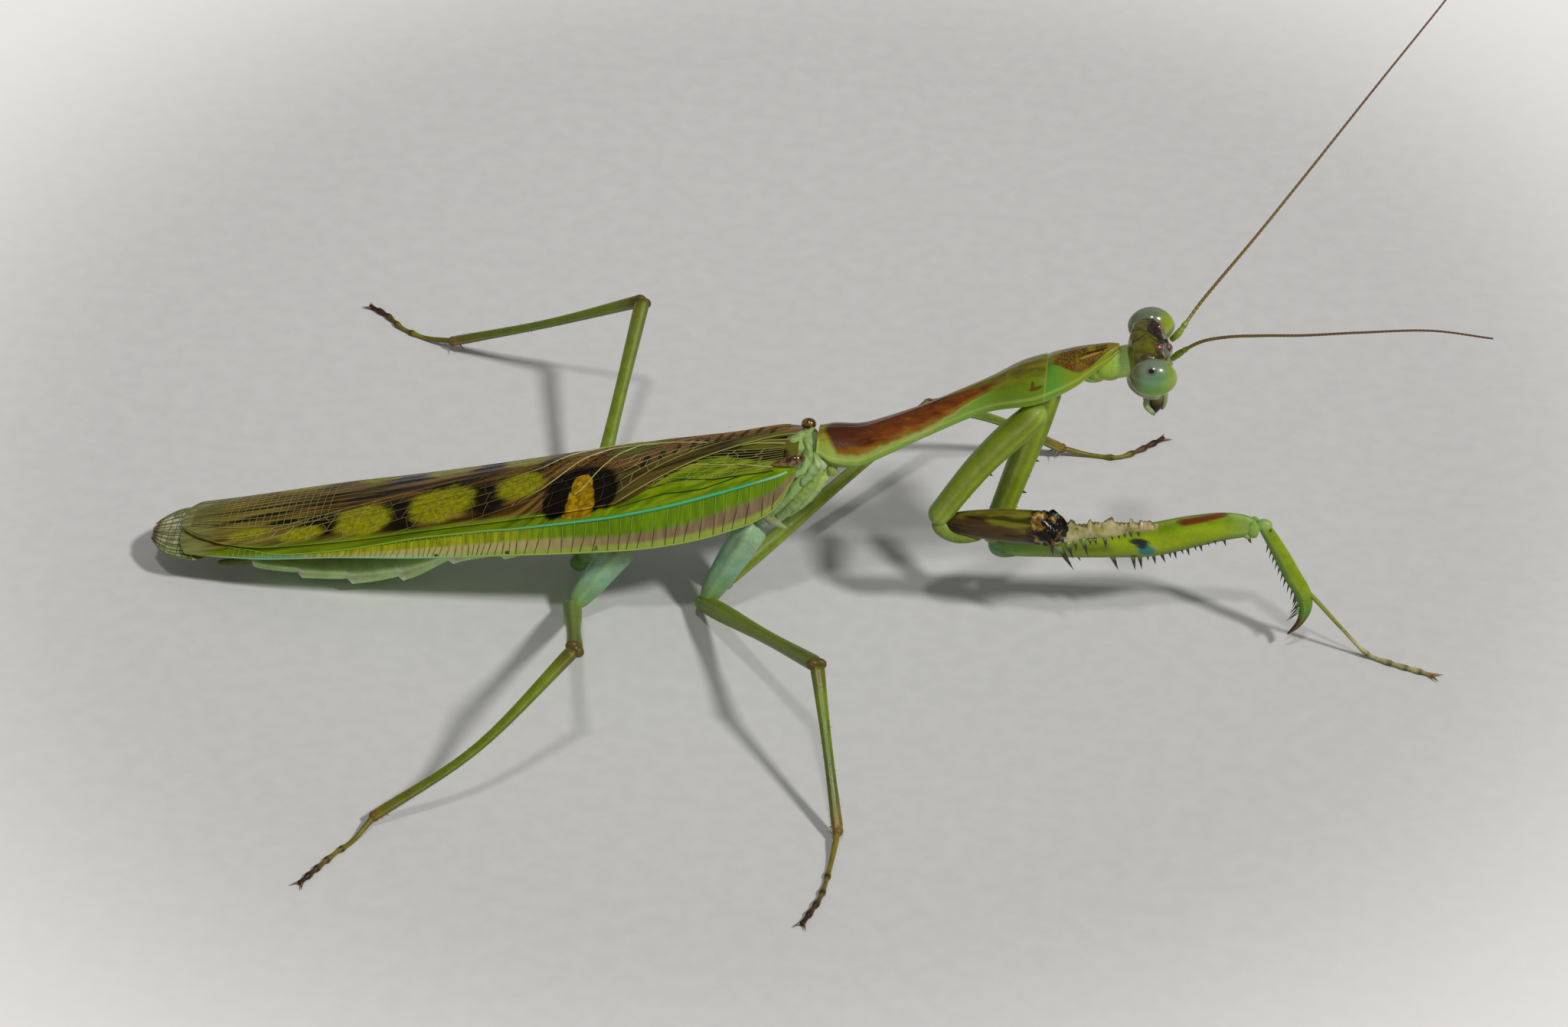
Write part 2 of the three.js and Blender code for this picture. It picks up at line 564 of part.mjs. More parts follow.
function forewing(side, isUpper) {
  const grid = wingPlaces(FOREWING).map((x) => FOREWING_LINES.map(([share, ridge]) => {
    const inner = -overlap(x);
    const c = (share <= 1 ? between(inner, 1, share) : share) * roundedEnd(x);
    const point = roofPoint(x, side * c);
    if (!isUpper && c <= 1) {
      point.z -= lowerWingDepth(x, c);
    } else if (!isUpper) {
      point.z -= lowerWingDepth(x, 1) * (2 - c);
    }
    return { point, ridge: ridge * veinHeight(x) };
  }));
  return sheet(grid, wingThickness);
}

function hindwing(side) {
  const grid = wingPlaces(HINDWING).map((x) => HINDWING_LINES.map(([share, ridge]) => {
    const half = smoothRow(ROOF, x)[2];
    const inner = (GAP * 0.5 + 0.02) / half;
    const spread = clamp01((x - HINDWING.spreadsFrom) / (HINDWING.spread - HINDWING.spreadsFrom));
    const point = roofPoint(x, side * between(inner, between(HINDWING.edge, 1, spread), share));
    const sunk = 2 * layer(x) + 0.3;
    const free = clamp01((TIP_RISE.from - x) / TIP_RISE.over);
    point.z -= between(sunk, TIP_RISE.depth, free);
    return { point, ridge: ridge * veinHeight(x) };
  }));
  return sheet(grid, wingThickness);
}

place("forewing_left", forewing(1, true), 0x7a8f24);
place("forewing_right", forewing(-1, false), 0x7fae2e);
place("hindwing_left", hindwing(1), 0xb9c79a);
place("hindwing_right", hindwing(-1), 0xb9c79a);

// ---------- walking legs ----------

/** A point a given distance from one joint toward the next. */
function past(from, to, distance) {
  const start = vector(from);
  return start.addScaledVector(vector(to).sub(start).normalize(), distance).toArray();
}

const knob = (centre, radius, grow = 0) => ball(centre, Array(3).fill(radius + grow), 9, 7);

/** The trochanter's knob, the thigh and the knee's knob; grown, they clear the pieces beside them. */
function thighPieces({ trochanter, knee }, grow = 0) {
  const radii = FEMUR_RADII.map((radius) => radius + grow);
  const knobs = [knob(trochanter, TROCHANTER_RADIUS, grow), knob(knee, KNEE_RADIUS, grow)];
  return [shaft(trochanter, knee, radii), ...knobs];
}

function walkingCoxa(leg) {
  const shape = shaft(leg.base, past(leg.trochanter, leg.base, TROCHANTER_RADIUS), COXA_RADII);
  return fused([shape], [trunk(THORAX, 12, GAP), ...thighPieces(leg, GAP)]);
}

function walkingFemur(leg) {
  return fused(thighPieces(leg), [underfloor()]);
}

function walkingTibia({ trochanter, knee, heel, bow }) {
  const start = past(knee, heel, KNEE_RADIUS + GAP);
  const shin = shaft(start, heel, TIBIA_RADII, { bow });
  const inward = vector(trochanter).sub(vector(heel)).setZ(0).normalize();
  const spurs = [0.6, -0.6].map((turn) => {
    const lean = inward.clone().applyAxisAngle(new THREE.Vector3(0, 0, 1), turn);
    const tip = vector(heel).addScaledVector(lean, 1.0);
    tip.z = 0.35;
    return thorn(vector(past(heel, knee, 0.45)), tip, 0.2);
  });
  return fused([shin, knob(heel, HEEL_RADIUS), ...spurs], [underfloor()]);
}

/** The jointed foot: swollen segment ends, a pair of claws and a flat sole. */
function foot(points, level) {
  const path = points.map(([x, y, z]) => [x, y, z ?? level]);
  const rows = [[0, 0.2], [0.03, 0.3]];
  for (const pad of TOE_PADS) {
    rows.push([pad - 0.07, TOE_RADIUS * 0.95], [pad, TOE_RADIUS * 1.25], [pad + 0.035, TOE_RADIUS * 0.9]);
  }
  rows.push([1, 0.2]);
  const foreshaft = limb(path, rows, 6);
  const end = vector(path[path.length - 1]);
  const ahead = end.clone().sub(vector(path[path.length - 2])).setZ(0).normalize();
  const claws = [0.6, -0.6].map((turn) => {
    const lean = ahead.clone().applyAxisAngle(new THREE.Vector3(0, 0, 1), turn);
    return thorn(end.clone().addScaledVector(ahead, -0.35), end.clone().addScaledVector(lean, 0.75), 0.17);
  });
  return fused([foreshaft, ...claws], [underfloor()]);
}

for (const [name, leg] of Object.entries(WALKING_LEGS)) {
  place(`${name}_coxa`, walkingCoxa(leg), 0xa9d6b4);
  place(`${name}_femur`, walkingFemur(leg), 0x6f9a3a);
  place(`${name}_tibia`, walkingTibia(leg), 0x6f9a3a);
  const heel = past(leg.heel, [leg.toes[0][0], leg.toes[0][1], TOE_RADIUS], HEEL_RADIUS + GAP);
  heel[2] = 0.45;
  place(`${name}_tarsus`, foot([heel, ...leg.toes], TOE_RADIUS * 0.85), 0x9a7a3a);
}

// ---------- forelegs ----------

function foreCoxa({ base, trochanter, bow }, thigh) {
  const end = past(trochanter, base, 0.5);
  const forward = vector(end).sub(vector(base)).normalize().cross(LEFTWARD);
  const warts = COXA_WARTS.map((share) => {
    const middle = vector(base).lerp(vector(end), share);
    middle.addScaledVector(vector(bow), Math.sin(share * Math.PI));
    return thorn(middle.clone().addScaledVector(forward, 0.6), middle.addScaledVector(forward, 1.3), 0.2);
  });
  const coxa = shaft(base, end, FORE_COXA_RADII, { bow });
  return fused([coxa, ...warts], [trunk(PROTHORAX, 12, GAP), thigh]);
}

/** The thigh of a grasping leg; grown, it clears the pieces beside it. */
function graspingThigh({ thigh }, rows, grow = 0) {
  const start = past(thigh[0], thigh[1], -grow);
  const grown = rows.map(([share, ...radii]) => [share, ...radii.map((radius) => radius + grow)]);
  return limb([start, ...thigh.slice(1)], grown, 10);
}

/** Thorns under a path, each [share of the way, length, lean ahead], rooted at a depth, on one side. */
function thornsUnder(path, thorns, depth, side) {
  const curve = new THREE.CatmullRomCurve3(path.map(vector), false, "centripetal");
  return thorns.map(([share, length, lean]) => {
    const edge = curve.getPointAt(share);
    edge.z -= depth(share);
    const root = edge.clone().add(new THREE.Vector3(0, side * 0.3, 0.45));
    const tip = edge.clone().addScaledVector(curve.getTangentAt(share), lean * length);
    return thorn(root, tip.add(new THREE.Vector3(0, side * 0.5, -length)), 0.2);
  });
}

function leftFemur() {
  const { count, first, last, longest, shortest, alternate, lean } = INNER_THORNS;
  const inner = Array.from({ length: count }, (_, k) => {
    const share = k / (count - 1);
    return [between(first, last, share), between(longest, shortest, share) * (k % 2 ? alternate : 1), lean];
  });
  const depth = (share) => smoothRow(FORE_FEMUR, share)[3];
  const { thigh } = FORE_LEFT;
  return fused([graspingThigh(FORE_LEFT, FORE_FEMUR), ...thornsUnder(thigh, inner, depth, -1),
    ...thornsUnder(thigh, OUTER_THORNS, depth, 1)]);
}

function leftTibia() {
  const curve = new THREE.CatmullRomCurve3(TIBIA_PATH.map(vector), false, "centripetal");
  const teeth = Array.from({ length: TIBIA_TEETH.count }, (_, k) => {
    const at = between(TIBIA_TEETH.first, TIBIA_TEETH.last, k / (TIBIA_TEETH.count - 1));
    const centre = curve.getPointAt(at);
    const along = curve.getTangentAt(at);
    const inward = new THREE.Vector3(along.z, 0, -along.x).normalize();
    if (inward.x > 0) inward.negate();
    const root = centre.clone().addScaledVector(inward, 0.2);
    const tip = centre.addScaledVector(inward, TIBIA_TEETH.reach).addScaledVector(along, TIBIA_TEETH.lean);
    return thorn(root, tip, 0.17);
  });
  return fused([limb(TIBIA_PATH, TIBIA_ROWS, 8), ...teeth]);
}

/** The strip of skin left beyond the stump, ragged along its upper edge. */
function tornStrip() {
  const { from, to, heights, bulge } = STRIP;
  const grid = heights.map((height, k) => [0, 0.5, 1].map((share) => {
    const point = vector(from).lerp(vector(to), k / (heights.length - 1));
    point.z += share * height;
    point.y -= bulge * Math.sin(share * Math.PI);
    return { point, ridge: 0 };
  }));
  return sheet(grid, () => MEMBRANE, new THREE.Vector3(0, -1, 0));
}

/** The injured femur: a stump that ends in splinters and a strip of skin, with a few thorns left. */
function rightFemur() {
  const { thigh } = FORE_RIGHT;
  const torn = vector(thigh[thigh.length - 1]);
  const splinters = SPLINTERS.map(([reach, aside, rise]) => thorn(
    torn.clone().add(new THREE.Vector3(-0.6, aside, rise * 0.8)),
    torn.clone().add(new THREE.Vector3(reach, aside, rise)), 0.35));
  const depth = (share) => smoothRow(STUMP, share)[3];
  const thorns = [...thornsUnder(thigh, TORN_THORNS, depth, 1),
    ...thornsUnder([STRIP.from, STRIP.to], STRIP_THORNS, () => 0, 0.7)];
  return fused([graspingThigh(FORE_RIGHT, STUMP), tornStrip(), ...splinters, ...thorns]);
}

place("foreleg_left_coxa", foreCoxa(FORE_LEFT, graspingThigh(FORE_LEFT, FORE_FEMUR, GAP)), 0x86b040);
place("foreleg_right_coxa", foreCoxa(FORE_RIGHT, graspingThigh(FORE_RIGHT, STUMP, GAP)), 0x86b040);
place("foreleg_left_femur", leftFemur(), 0x7fb23c);
place("foreleg_left_tibia", leftTibia(), 0x7fb23c);
place("foreleg_left_tarsus", foot(FORE_TOES, TOE_RADIUS), 0x93953c);
place("foreleg_right_femur", rightFemur(), 0x4a3516);

export default model;
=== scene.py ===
"""A praying mantis at life size, standing on its walking legs and its left grasping leg.

Every place and size is in millimetres in the insect's own frame: +X toward the head, +Y to its left,
+Z up and the floor at 0. The right grasping leg is an injured one, torn off past the thigh.
"""

import json
import math
import random
from functools import partialmethod

import bmesh
import bpy
import numpy as np
from mathutils import Matrix, Vector, kdtree

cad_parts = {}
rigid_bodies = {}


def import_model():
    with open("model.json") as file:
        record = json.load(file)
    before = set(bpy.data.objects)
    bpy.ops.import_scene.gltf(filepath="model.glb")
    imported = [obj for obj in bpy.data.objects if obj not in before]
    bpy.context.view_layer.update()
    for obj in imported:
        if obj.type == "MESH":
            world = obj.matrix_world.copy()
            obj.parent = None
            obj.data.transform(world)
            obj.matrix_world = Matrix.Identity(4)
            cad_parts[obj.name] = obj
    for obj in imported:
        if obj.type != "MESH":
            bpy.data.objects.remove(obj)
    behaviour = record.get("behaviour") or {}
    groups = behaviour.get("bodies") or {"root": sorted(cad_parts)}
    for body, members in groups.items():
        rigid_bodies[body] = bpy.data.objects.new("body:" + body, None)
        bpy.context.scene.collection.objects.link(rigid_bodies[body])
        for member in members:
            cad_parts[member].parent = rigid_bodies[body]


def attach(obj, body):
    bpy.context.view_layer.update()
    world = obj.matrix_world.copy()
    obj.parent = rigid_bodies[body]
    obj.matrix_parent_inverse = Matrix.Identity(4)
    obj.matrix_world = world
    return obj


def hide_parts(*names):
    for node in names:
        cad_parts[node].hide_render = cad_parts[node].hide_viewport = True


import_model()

CENTRE = np.array([1.1, -0.07, 0.0])  # the insect's own place of the frame's origin
MM = 0.001
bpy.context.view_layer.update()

# ---------- sizes, close to those of the solids ----------

PROTHORAX = [  # [x, level, half width, rise above it, depth below it]
    [2.7, 15.9, 1.5, 1.1, 1.4], [3.6, 15.6, 1.9, 1.6, 1.5], [5.6, 15.5, 2.0, 1.9, 1.1],
    [7.4, 16.3, 1.8, 1.9, 0.9], [10.2, 17.9, 1.4, 1.8, 0.8], [13.6, 20.0, 1.35, 1.7, 0.8],
    [15.3, 21.0, 1.6, 1.7, 0.9], [17.0, 21.8, 2.15, 2.0, 1.0], [18.4, 22.3, 2.35, 2.15, 1.1],
    [20.0, 23.0, 2.05, 2.15, 1.0], [21.4, 23.8, 1.7, 1.9, 0.8], [22.6, 24.8, 1.25, 1.25, 0.4],
    [23.6, 25.5, 0.8, 0.85, 0.25], [24.2, 26.0, 0.35, 0.45, 0.15],
]
THORAX = [
    [2.4, 15.0, 1.4, 0.9, 1.2], [1.3, 14.2, 2.1, 1.2, 2.1], [0.0, 12.7, 2.4, 1.7, 2.4],
    [-1.8, 11.4, 2.5, 1.25, 2.6], [-4.5, 10.4, 2.5, 1.3, 2.5], [-8.5, 8.9, 2.6, 1.75, 2.3],
    [-11.5, 8.0, 2.6, 1.75, 2.2], [-13.0, 7.6, 2.4, 1.65, 1.9],
]
ABDOMEN = [
    [-13.3, 7.5, 2.3, 1.3, 1.8], [-17.0, 6.7, 2.6, 1.4, 1.8], [-21.0, 5.8, 2.8, 1.3, 1.7],
    [-24.5, 5.1, 2.8, 1.2, 1.7], [-28.0, 3.7, 2.9, 1.6, 2.2], [-32.0, 2.8, 2.9, 1.4, 2.1],
    [-36.0, 2.3, 2.4, 0.9, 1.6], [-39.0, 2.0, 1.8, 0.6, 1.1], [-41.0, 1.8, 1.0, 0.3, 0.6],
]
BELLY_PLATE = 3.9
NECK_PATH = [[22.0, 0, 23.8], [23.6, 0, 24.6], [25.6, 0, 25.3]]
NECK_ROWS = [[0, 0.6, 0.5, 0.5], [0.2, 0.95, 0.8, 0.8], [0.6, 1.2, 1.1, 1.1], [1, 1.2, 1.1, 1.1]]

# [x, height of the side bend, half width, rise of the midline, drop and lean of the side]
ROOF = [
    [1.2, 15.4, 2.6, 0.9, 0.8, 0.3], [-0.4, 15.0, 3.1, 1.0, 3.1, 0.5], [-4.0, 13.7, 3.5, 1.3, 3.7, 0.8],
    [-9.0, 12.15, 4.2, 1.5, 3.5, 0.7], [-15.0, 10.4, 4.5, 1.5, 2.75, 0.5],
    [-21.0, 8.8, 4.5, 1.5, 1.95, 0.5], [-27.0, 7.3, 4.4, 1.4, 1.3, 0.5],
    [-33.0, 5.85, 4.45, 1.3, 0.5, 0.3], [-38.5, 4.65, 4.15, 1.1, 0.3, 0.15],
    [-42.0, 4.0, 3.75, 0.9, 0.15, 0.1], [-43.6, 3.75, 3.5, 0.8, 0.12, 0.08],
    [-45.2, 3.55, 3.2, 0.65, 0.1, 0.06], [-46.4, 3.5, 2.85, 0.45, 0.1, 0.05],
    [-47.4, 3.45, 1.9, 0.3, 0.1, 0.05], [-48.1, 3.4, 0.8, 0.15, 0.1, 0.05],
]
FOREWING = {"base": 1.2, "tip": -45.7, "rounds_from": -38.0, "blunt": 0.1}
HINDWING = {"base": -2.4, "tip": -48.05, "edge": 0.66, "spreads_from": -42.6, "spread": -44.4}
TIP_RISE = {"from": -43.0, "over": 1.6}
OVERLAP = {"from": 1.2, "to": -12.0, "start": -0.12, "full": 0.87}
WING_GAPS = {"bare": 0.06, "covered": 0.32, "hindwing": 0.95, "hind_tip": 0.42}  # depths under the roof

HEAD_PLACE = [26.62, 0, 25.84]
HEAD_ROLL = 4.0
HEAD_YAW = 6.0
SKULL = [  # [height, forward shift, half width, front depth, back depth]
    [1.75, -0.4, 1.35, 0.5, 0.9], [1.58, -0.3, 2.05, 0.85, 1.3], [1.1, -0.1, 2.5, 1.0, 1.6],
    [0.3, 0, 2.7, 1.3, 1.8], [-0.8, 0.05, 2.65, 1.35, 1.8], [-1.8, 0.1, 2.4, 1.2, 1.85],
    [-2.55, 0.15, 2.05, 0.95, 1.85], [-3.1, 0.3, 1.5, 0.7, 1.4], [-3.6, 0.45, 0.95, 0.5, 0.85],
]
EYE_CENTRE = [0, 3.0, 0.15]
EYE_RADII = [1.7, 1.22, 1.42]
OCELLI = [[1.12, 0, 0.52], [0.4, 1.2, 1.42], [0.4, -1.2, 1.42]]
OCELLUS_RADIUS = 0.34
FEELER_BASE = [1.4, 1.1, 0.4]
FEELERS = {
    "left": [[28.33, 1.15, 26.9], [29.76, 2.6, 28.72], [33.3, 5.4, 32.8], [36.3, 8, 36.3],
             [41.2, 12, 42.3],
             [45.5, 15.5, 47.5], [47, 16.7, 49.5]],
    "right": [[28.58, -1.15, 26.75], [30.1, -2.3, 28.67], [31.9, -3.5, 30.05], [34.6, -5.4, 31.7],
              [37.3, -7.4, 33.3], [41.5, -10.2, 35.8], [46.2, -13.1, 38.3], [50.3, -15.9, 39.9]],
}

WALKING_LEGS = {
    "midleg_right": {
        "base": [-2.0, -1.8, 9.4], "trochanter": [-5.8, -1.5, 1.35], "knee": [4.8, -18.5, 9.6],
        "heel": [7.3, -26.3, 0.9], "toes": [[7.15, -29.4], [6.9, -32.8], [6.4, -34.6], [5.95, -36.0]],
        "bow": [0, 0, 0.05]},
    "midleg_left": {
        "base": [-2.0, 1.8, 9.4], "trochanter": [-4.7, 1.5, 1.35], "knee": [9.1, 17.8, 7.6],
        "heel": [18.8, 22.6, 0.9], "toes": [[20.9, 22.95], [23.2, 22.9], [24.5, 23.8], [26.6, 26.0]],
        "bow": [0.2, 0.2, 0.3]},
    "hindleg_right": {
        "base": [-11.6, -2.3, 7.0], "trochanter": [-15.5, -3.3, 1.35], "knee": [-11.9, -22.7, 12.5],
        "heel": [-25.6, -28.9, 0.9],
        "toes": [[-26.7, -30.9], [-27.8, -32.7], [-28.9, -34.8], [-29.6, -36.2]],
        "bow": [0.3, -1.0, -0.6]},
    "hindleg_left": {
        "base": [-11.6, 2.3, 7.0], "trochanter": [-15.9, 2.4, 1.35], "knee": [-14.05, 23.0, 11.6],
        "heel": [-30.8, 31.0, 0.9],
        "toes": [[-33.4, 32.2], [-35.4, 33.3], [-36.9, 34.9], [-38.6, 36.1]], "bow": [0, 0, -0.25]},
}
TOE_RADIUS = 0.27
FORE_RIGHT = {"base": [19.0, -1.7, 21.6], "trochanter": [11.1, -1.5, 10.3], "bow": [-0.35, 0, 0.2],
              "thigh": [[11.1, -1.5, 10.3], [15.5, -1.6, 10.75], [21.3, -1.65, 10.8]]}
FORE_LEFT = {"base": [19.4, 1.7, 21.4], "trochanter": [15.1, 1.2, 6.9], "bow": [0, 0, 0],
             "thigh": [[15.1, 1.2, 6.9], [19.3, 1.2, 7.5], [23.2, 1.2, 7.95], [27.2, 1.2, 8.5],
                       [30.0, 1.25, 9.4], [32.6, 1.3, 10.1], [34.9, 1.3, 10.45]]}
FORE_FEMUR = [  # [place along it, half width, above, below]
    [0.0, 0.45, 0.5, 0.5], [0.04, 0.75, 0.85, 0.9], [0.2, 0.85, 1.2, 1.25], [0.42, 0.85, 1.35, 1.4],
    [0.6, 0.8, 1.4, 1.45], [0.76, 0.7, 1.35, 1.35], [0.88, 0.6, 1.2, 1.15], [0.96, 0.5, 0.85, 0.95],
    [1.0, 0.35, 0.45, 0.5],
]
STUMP = [
    [0.0, 0.45, 0.5, 0.6], [0.06, 0.7, 0.8, 0.95], [0.2, 0.8, 1.05, 1.1], [0.45, 0.85, 1.3, 1.35],
    [0.75, 0.85, 1.45, 1.4], [0.93, 0.8, 1.3, 1.35], [1.0, 0.5, 0.8, 0.9],
]
TIBIA_PATH = [[35.2, 1.25, 10.6], [35.6, 1.2, 10.0], [36.6, 1.0, 8.4], [37.7, 0.7, 6.5],
              [38.6, 0.45, 5.0], [38.75, 0.25, 3.7], [38.35, 0.05, 2.6], [37.6, -0.1, 1.7]]
TIBIA_ROWS = [
    [0, 0.4, 0.4, 0.4], [0.1, 0.5, 0.5, 0.5], [0.3, 0.48, 0.6, 0.6], [0.55, 0.46, 0.62, 0.66],
    [0.72, 0.42, 0.5, 0.52], [0.84, 0.3, 0.3, 0.3], [0.93, 0.18, 0.18, 0.18], [1, 0.05, 0.05, 0.05],
]
FORE_TOES = [[38.7, 0.45, 5.5], [39.45, 0.4, 4.75], [41.6, 0.15, 2.4], [43.6, -0.1, 0.45],
             [45.5, -0.8, 0.27], [47.6, -1.5, 0.27], [48.7, -1.9, 0.27]]
STRIP = {"from": [20.8, -1.7, 9.5], "to": [27.7, -1.9, 11.7], "bulge": 0.3,
         "heights": [2.1, 2.1, 1.7, 1.9, 1.45, 1.75, 1.2, 1.35, 0.95, 0.95, 0.5]}

# ---------- colours ----------


def colour(code):
    """A paint chart's #rrggbb as the linear values that a shader mixes."""
    channels = [int(code[i:i + 2], 16) / 255 for i in (1, 3, 5)]
    return [c / 12.92 if c <= 0.04045 else ((c + 0.055) / 1.055) ** 2.4 for c in channels]


LEAF = "#66780f"
OLIVE = "#626019"
MOSS = "#55671c"
MINT = "#86b193"
PALE_EDGE = "#a9b973"
TAN = "#7d6424"
BROWN = "#5c3a1a"
DARK_BROWN = "#26160a"
BLACK = "#070504"
BLUE_BLACK = "#0c1a22"
KEEL_LIFT = 0.24  # how much paler a limb's keels are

# ---------- curves and rows ----------


def between(a, b, share):
    return a + (b - a) * share


def unit(way):
    return way / np.linalg.norm(way)


def around(sides):
    """Angles of that many sides round a limb."""
    return np.linspace(0, 2 * np.pi, sides, endpoint=False)


def smooth_step(value, start, end):
    share = np.clip((value - start) / (end - start), 0, 1)
    return share * share * (3 - 2 * share)


def smooth_row(table, place):
    """Smooth values between the rows of a table whose first column is the place."""
    rising = table[1][0] > table[0][0]
    k = 0
    while k < len(table) - 2 and (place > table[k + 1][0] if rising else place < table[k + 1][0]):
        k += 1
    before, here, after, later = (np.array(table[i], float) for i in
                                  (max(0, k - 1), k, k + 1, min(len(table) - 1, k + 2)))
    span = after[0] - here[0]
    t = min(1.0, max(0.0, (place - here[0]) / span))
    leave = (after - before) / (after[0] - before[0]) * span
    arrive = (later - here) / (later[0] - here[0]) * span
    placed = here * (2 * t ** 3 - 3 * t * t + 1) + after * (3 * t * t - 2 * t ** 3)
    return placed + leave * (t ** 3 - 2 * t * t + t) + arrive * (t ** 3 - t * t)


class Path:
    """A smooth curve through points, measured by the share of its length."""

    def __init__(self, points, steps=48):
        knots = np.array(points, float)
        knots = np.vstack([2 * knots[0] - knots[1], knots, 2 * knots[-1] - knots[-2]])
        dense = []
        for k in range(1, len(knots) - 2):
            p0, p1, p2, p3 = knots[k - 1:k + 3]
            d0, d1, d2 = (max(np.linalg.norm(b - a) ** 0.5, 1e-6) for a,
                          b in ((p0, p1), (p1, p2), (p2, p3)))
            leave = ((p1 - p0) / d0 - (p2 - p0) / (d0 + d1) + (p2 - p1) / d1) * d1
            arrive = ((p2 - p1) / d1 - (p3 - p1) / (d1 + d2) + (p3 - p2) / d2) * d1
            for t in np.arange(steps) / steps:
                dense.append(p1 * (2 * t ** 3 - 3 * t * t + 1) + p2 * (3 * t * t - 2 * t ** 3)
                             + leave * (t ** 3 - 2 * t * t + t) + arrive * (t ** 3 - t * t))
        dense.append(knots[-2])
        self.points = np.array(dense)
        lengths = np.linalg.norm(np.diff(self.points, axis=0), axis=1)
        self.reach = np.concatenate([[0], np.cumsum(lengths)])
        self.length = self.reach[-1]

    def at(self, share):
        return np.array([np.interp(share * self.length, self.reach, self.points[:, i]) for i in range(3)])

    def along(self, share):
        return unit(self.at(min(1, share + 0.01)) - self.at(max(0, share - 0.01)))


# ---------- shapes ----------


class Shape:
    """Closed surfaces in the insect's millimetres, with named values kept at every point."""

    def __init__(self, points, faces, **marks):
        self.points = np.array(points, float)
        self.faces = list(faces)
        self.marks = {name: np.array(values, float) for name, values in marks.items()}

    def mark(self, **marks):
        for name, values in marks.items():
            values = np.array(values, float)
            self.marks[name] = values if len(values) == len(self.points) else np.tile(values,
                                                                                      (len(self.points),
                                                                                       1))
        return self

    def tinge(self, share, paint):
        """Mixes a paint into the tint, by a share for every point."""
        share = share[:, None]
        self.marks["tint"] = self.marks["tint"] * (1 - share) + np.array(colour(paint)) * share
        return self

    def outward(self):
        """Turns every face out, by the sign of the enclosed volume."""
        volume = 0.0
        for face in self.faces:
            for k in range(1, len(face) - 1):
                a, b, c = self.points[face[0]], self.points[face[k]], self.points[face[k + 1]]
                volume += float(np.dot(a, np.cross(b, c)))
        if volume < 0:
            self.faces = [tuple(reversed(face)) for face in self.faces]
        return self


def joined(shapes):
    """Several shapes as one, each still closed on its own."""
    points, faces, start = [], [], 0
    names = set.intersection(*[set(shape.marks) for shape in shapes])
    for shape in shapes:
        points.append(shape.points)
        faces += [tuple(start + corner for corner in face) for face in shape.faces]
        start += len(shape.points)
    marks = {name: np.concatenate([shape.marks[name] for shape in shapes]) for name in names}
    return Shape(np.concatenate(points), faces, **marks)


def loft(rings, **marks):
    """A closed body over rings of equal count, each end drawn to its middle, with a mark per ring point."""
    rings = np.asarray(rings, float)
    rows, sides, _ = rings.shape
    points = np.concatenate([rings.reshape(-1, 3), rings[:1].mean(axis=1), rings[-1:].mean(axis=1)])
    faces = [(r * sides + s, r * sides + (s + 1) % sides, (r + 1) * sides + (s + 1) % sides,
              (r + 1) * sides + s) for r in range(rows - 1) for s in range(sides)]
    first, last = rows * sides, rows * sides + 1
    for s in range(sides):
        after = (s + 1) % sides
        faces.append((first, after, s))
        faces.append((last, (rows - 1) * sides + s, (rows - 1) * sides + after))
    kept = {}
    for name, values in marks.items():
        values = np.asarray(values, float)
        flat = values.reshape(rows * sides, -1)
        kept[name] = np.concatenate([flat, values[:1].reshape(sides, -1).mean(axis=0)[None],
                                     values[-1:].reshape(sides, -1).mean(axis=0)[None]])
    return Shape(points, faces, **kept).outward()


def rounded_shares(count):
    """Stations from 0 to 1 that crowd toward both ends."""
    return 0.5 - 0.5 * np.cos(np.pi * np.linspace(0.02, 0.98, count))


def plain_outline(angles):
    return np.ones_like(angles)


def keeled(ridges, height, phase=0.0):
    """An outline with sharp lengthwise keels."""
    def outline(angles):
        return 1 + height * np.abs(np.cos((angles - phase) * ridges / 2)) ** 14
    return outline


def gradient(stops, share):
    """A colour between named stops of [share, colour]."""
    places, tints = [stop[0] for stop in stops], [colour(stop[1]) for stop in stops]
    return np.array([np.interp(share, places, [tint[i] for tint in tints]) for i in range(3)])


def limb(points, rows, stops, sides=16, stations=44, across=(0, 1, 0), outline=plain_outline, soft=True):
    """A limb along a path. Rows give [place, half width, above, below]; stops give its colours along it."""
    path = Path(points)
    angles = around(sides)
    keel = outline(angles)
    shares = rounded_shares(stations)
    rings, tints, places = [], [], []
    for share in shares:
        wide, above, below = smooth_row(rows, share)[1:4]
        if soft:
            near = min(share, 1 - share) * path.length / max(above, 1e-6)
            cap = math.sqrt(1 - (1 - min(1, near)) ** 2)
            wide, above, below = wide * cap, above * cap, below * cap
        along = path.along(share)
        aside = unit(np.array(across, float) - along * np.dot(across, along))
        up = np.cross(along, aside)
        tall = np.where(np.sin(angles) > 0, above, below)
        centre = path.at(share)
        rings.append(centre + np.outer(np.cos(angles) * wide * keel, aside)
                     + np.outer(np.sin(angles) * tall * keel, up))
        lift = np.clip((keel - 1) / max(keel.max() - 1, 1e-6), 0, 1)[:, None] * KEEL_LIFT
        tints.append(gradient(stops, share) * (1 - lift) + np.array(colour(PALE_EDGE)) * lift)
        places.append([[share * path.length, angle, wide] for angle in angles])
    return loft(rings, tint=tints, limb_place=places)


